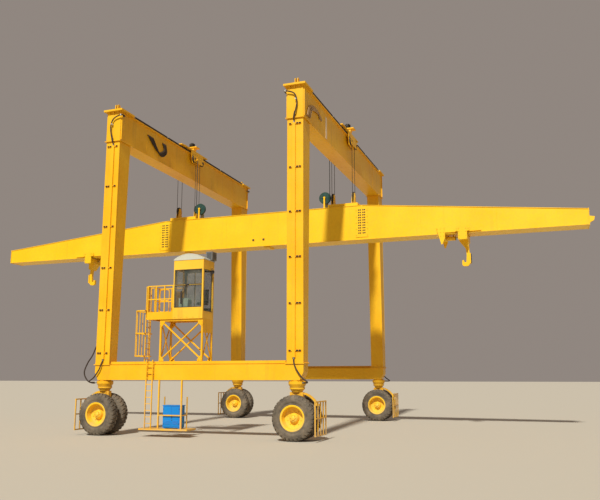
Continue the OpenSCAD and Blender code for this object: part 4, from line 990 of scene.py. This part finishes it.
def cushion(name, place, most=0.014):
    """A pad grown from its slab by cloth pressure, its swelling capped, then smoothed."""
    pad = bmesh.new()
    bmesh.ops.create_cube(pad, size=1.0)
    for vertex in pad.verts:
        vertex.co = place(*(c + 0.5 for c in vertex.co))
    bmesh.ops.recalc_face_normals(pad, faces=pad.faces)
    data = bpy.data.meshes.new(name)
    pad.to_mesh(data)
    pad.free()
    piece = stand(name, data)
    data.materials.append(seat_vinyl)
    remesh = piece.modifiers.new("remesh", "REMESH")
    remesh.mode, remesh.voxel_size = "VOXEL", 0.014
    bpy.context.view_layer.update()
    ready = piece.evaluated_get(bpy.context.evaluated_depsgraph_get())
    piece.data = bpy.data.meshes.new_from_object(ready)
    piece.modifiers.clear()
    start = [v.co.copy() for v in piece.data.vertices]
    cloth = piece.modifiers.new("cloth", "CLOTH")
    cloth.settings.use_pressure = True
    cloth.settings.uniform_pressure_force = 4
    cloth.settings.effector_weights.gravity = 0
    for step in range(1, 16):
        bpy.context.scene.frame_set(step)
    swelled = piece.evaluated_get(bpy.context.evaluated_depsgraph_get()).to_mesh()
    moved = [v.co.copy() for v in swelled.vertices]
    piece.modifiers.clear()
    bpy.context.scene.frame_set(1)
    for vertex, before, after in zip(piece.data.vertices, start, moved):
        shift = after - before
        vertex.co = before + (shift if shift.length < most else shift.normalized() * most)
    soften = piece.modifiers.new("soften", "SMOOTH")
    soften.iterations = 6
    settle(piece, "gantry")
    piece.data.shade_smooth()
    return piece


bottom = cushion("seat_cushion", lambda u, v, w: (
    seat_x0 + 0.02 + 0.42 * u, seat_y + 0.015 + 0.36 * v, deck_top + 0.362 + 0.075 * w))
backrest = cushion("seat_back", lambda u, v, w: (
    seat_x0 + 0.03 + 0.40 * u, seat_y + 0.345 + 0.058 * v + 0.048 * w, deck_top + 0.47 + 0.57 * w))
piping = Forge()
for x in (seat_x0 + 0.155, seat_x1 - 0.155):
    piping.tube([(x, seat_y + 0.02, deck_top + 0.447), (x, seat_y + 0.19, deck_top + 0.452),
                 (x, seat_y + 0.355, deck_top + 0.447)], 0.004, 6)
piping.finish("seat_piping", "gantry", gasket_rubber, "dark_plastic")
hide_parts("seat")


# ---- Tower, platforms and ladders ----------------------------------------------------
# Square tubes with bolted gussets carry the cab; the platforms have chequer plate and grating.
# The ladders are welded from flat bars and rungs, and the railing's gate has rounded frames.
gussets, gusset_bolts, gusset_thick = Forge(), [], 0.010
tower_left, tower_right, tower_front, tower_back, half_tube = -1.74, 0.33, -7.5, -6.6, 0.04
for x, inward in ((tower_left, 1), (tower_right, -1)):
    for y, out in ((tower_front - half_tube, -1), (tower_back + half_tube, 1)):
        for z, rising in ((kerb_top, 1), (cab_floor - 0.09, -1)):
            gussets.outline([(x + inward * dx, z + rising * dz)
                             for dx, dz in ((-half_tube, 0), (0.20, 0), (0.20, 0.08),
                                            (0.05, 0.24), (-half_tube, 0.24))],
                            1, y, y + out * gusset_thick)
            for dx, dz in ((0.0, 0.06), (0.0, 0.18), (0.12, 0.05)):
                gusset_bolts.append(((x + inward * dx, y + out * gusset_thick, z + rising * dz),
                                     (0, out, 0)))
gussets.finish("tower_gussets", "gantry", yellow, "yellow_paint", 0)
gusset_bolts += grid((0, cab_y0, cab_floor + 0.06), np.arange(cab_x0 + 0.12, cab_x1, 0.30), (0,),
                     (0,), (0, -1, 0))
bolts("tower_bolts", "gantry", gusset_bolts, 0.014, yellow)

# Raised lozenges of the chequer plate, turned one way and the other in turn.
treads, low_deck_top, lozenge_turn = Forge(), 0.3605, 0.7
for x0, x_step, columns, y0, y_step, rows, z, half in (
        (-2.50, 0.078, 30, -7.68, 0.082, 9, low_deck_top, 0.017),
        (-2.40, 0.086, 15, -7.55, 0.088, 11, deck_top + 0.0005, 0.018)):
    for i in range(columns):
        for j in range(rows):
            x, y = x0 + i * x_step, y0 + (j + 0.5 * (i % 2)) * y_step
            a = lozenge_turn if (i + j) % 2 else -lozenge_turn
            dx, dy = half * math.cos(a), half * math.sin(a)
            treads.rod((x - dx, y - dy, z), (x + dx, y + dy, z), 0.004, 4)
tan_steel = enamel("trodden_deck_enamel", (0.45, 0.32, 0.12, 1), (0.55, 0.40, 0.18, 1),
                   rust=0.7, streaks=0.2)
treads.finish("chequer_treads", "gantry", tan_steel, "yellow_paint", 0)

# Two frames of bent tube, one over the other, fill the railing behind the cab's deck.
frames, bend = Forge(), ((0.09, 0.0), (0.02, 0.03), (0.0, 0.11))
x0, x1, y = -2.40, -1.92, -6.575
for z0, z1 in ((deck_top + 0.10, deck_top + 0.60), (deck_top + 0.63, deck_top + 1.13)):
    loop = [(x0 + bend[0][0], y, z0)]
    for x, z, way_x, way_z, corner in ((x1, z0, -1, 1, bend), (x1, z1, -1, -1, bend[::-1]),
                                       (x0, z1, 1, -1, bend), (x0, z0, 1, 1, bend[::-1])):
        loop += [(x + way_x * dx, y, z + way_z * dz) for dx, dz in corner]
    frames.tube(loop, 0.022, 10)
frames.finish("rail_frames", "gantry", yellow, "yellow_paint")


# ---- Blue cabinet --------------------------------------------------------------------
# A dusty sheet-steel cabinet on the low platform, folded and spot welded.
# Two doors with pressed louvres hang on pin hinges; a handle and a round lock close them.
blue_enamel = enamel("blue_enamel", (0.002, 0.19, 0.62, 1), (0.005, 0.23, 0.66, 1),
                     rust=0.3, streaks=0.12, dust_height=0.1)
paint_on(blue_enamel, "blue_box")
doors, fittings = Forge(), Forge()
box_y, box_x0, box_x1, box_z0, box_z1 = -7.50, -1.50, -0.65, 0.40, 1.33
box_middle = (box_x0 + box_x1) / 2
for x0, x1, hinge in ((box_x0 + 0.03, box_middle - 0.006, box_x0 + 0.042),
                      (box_middle + 0.006, box_x1 - 0.03, box_x1 - 0.042)):
    doors.block(x0, x1, box_y - 0.012, box_y + 0.002, box_z0 + 0.04, box_z1 - 0.03, 0.004)
    for z in (box_z0 + 0.14 + i * 0.035 for i in range(5)):
        doors.outline([(box_y - 0.011, z), (box_y - 0.026, z), (box_y - 0.011, z + 0.024)], 0,
                      x0 + 0.07, x1 - 0.07)
    for z in (box_z0 + 0.16, box_z1 - 0.14):
        fittings.rod((hinge, box_y - 0.016, z - 0.035), (hinge, box_y - 0.016, z + 0.035),
                     0.009, 10)
lock_x = box_middle + 0.033
fittings.block(lock_x - 0.010, lock_x + 0.010, box_y - 0.030, box_y - 0.011, box_z0 + 0.40,
               box_z0 + 0.54, 0.004)
fittings.lathe([(pole, 0), (0.02, 0), (0.02, 0.008), (0.012, 0.012), (pole, 0.012)],
               (lock_x, box_y - 0.012, box_z0 + 0.32), (0, -1, 0), 18)
doors.finish("cabinet_doors", "gantry", blue_enamel, "blue_paint", 30)
fittings.finish("cabinet_fittings", "gantry", dark_steel, "dark_steel", 30)
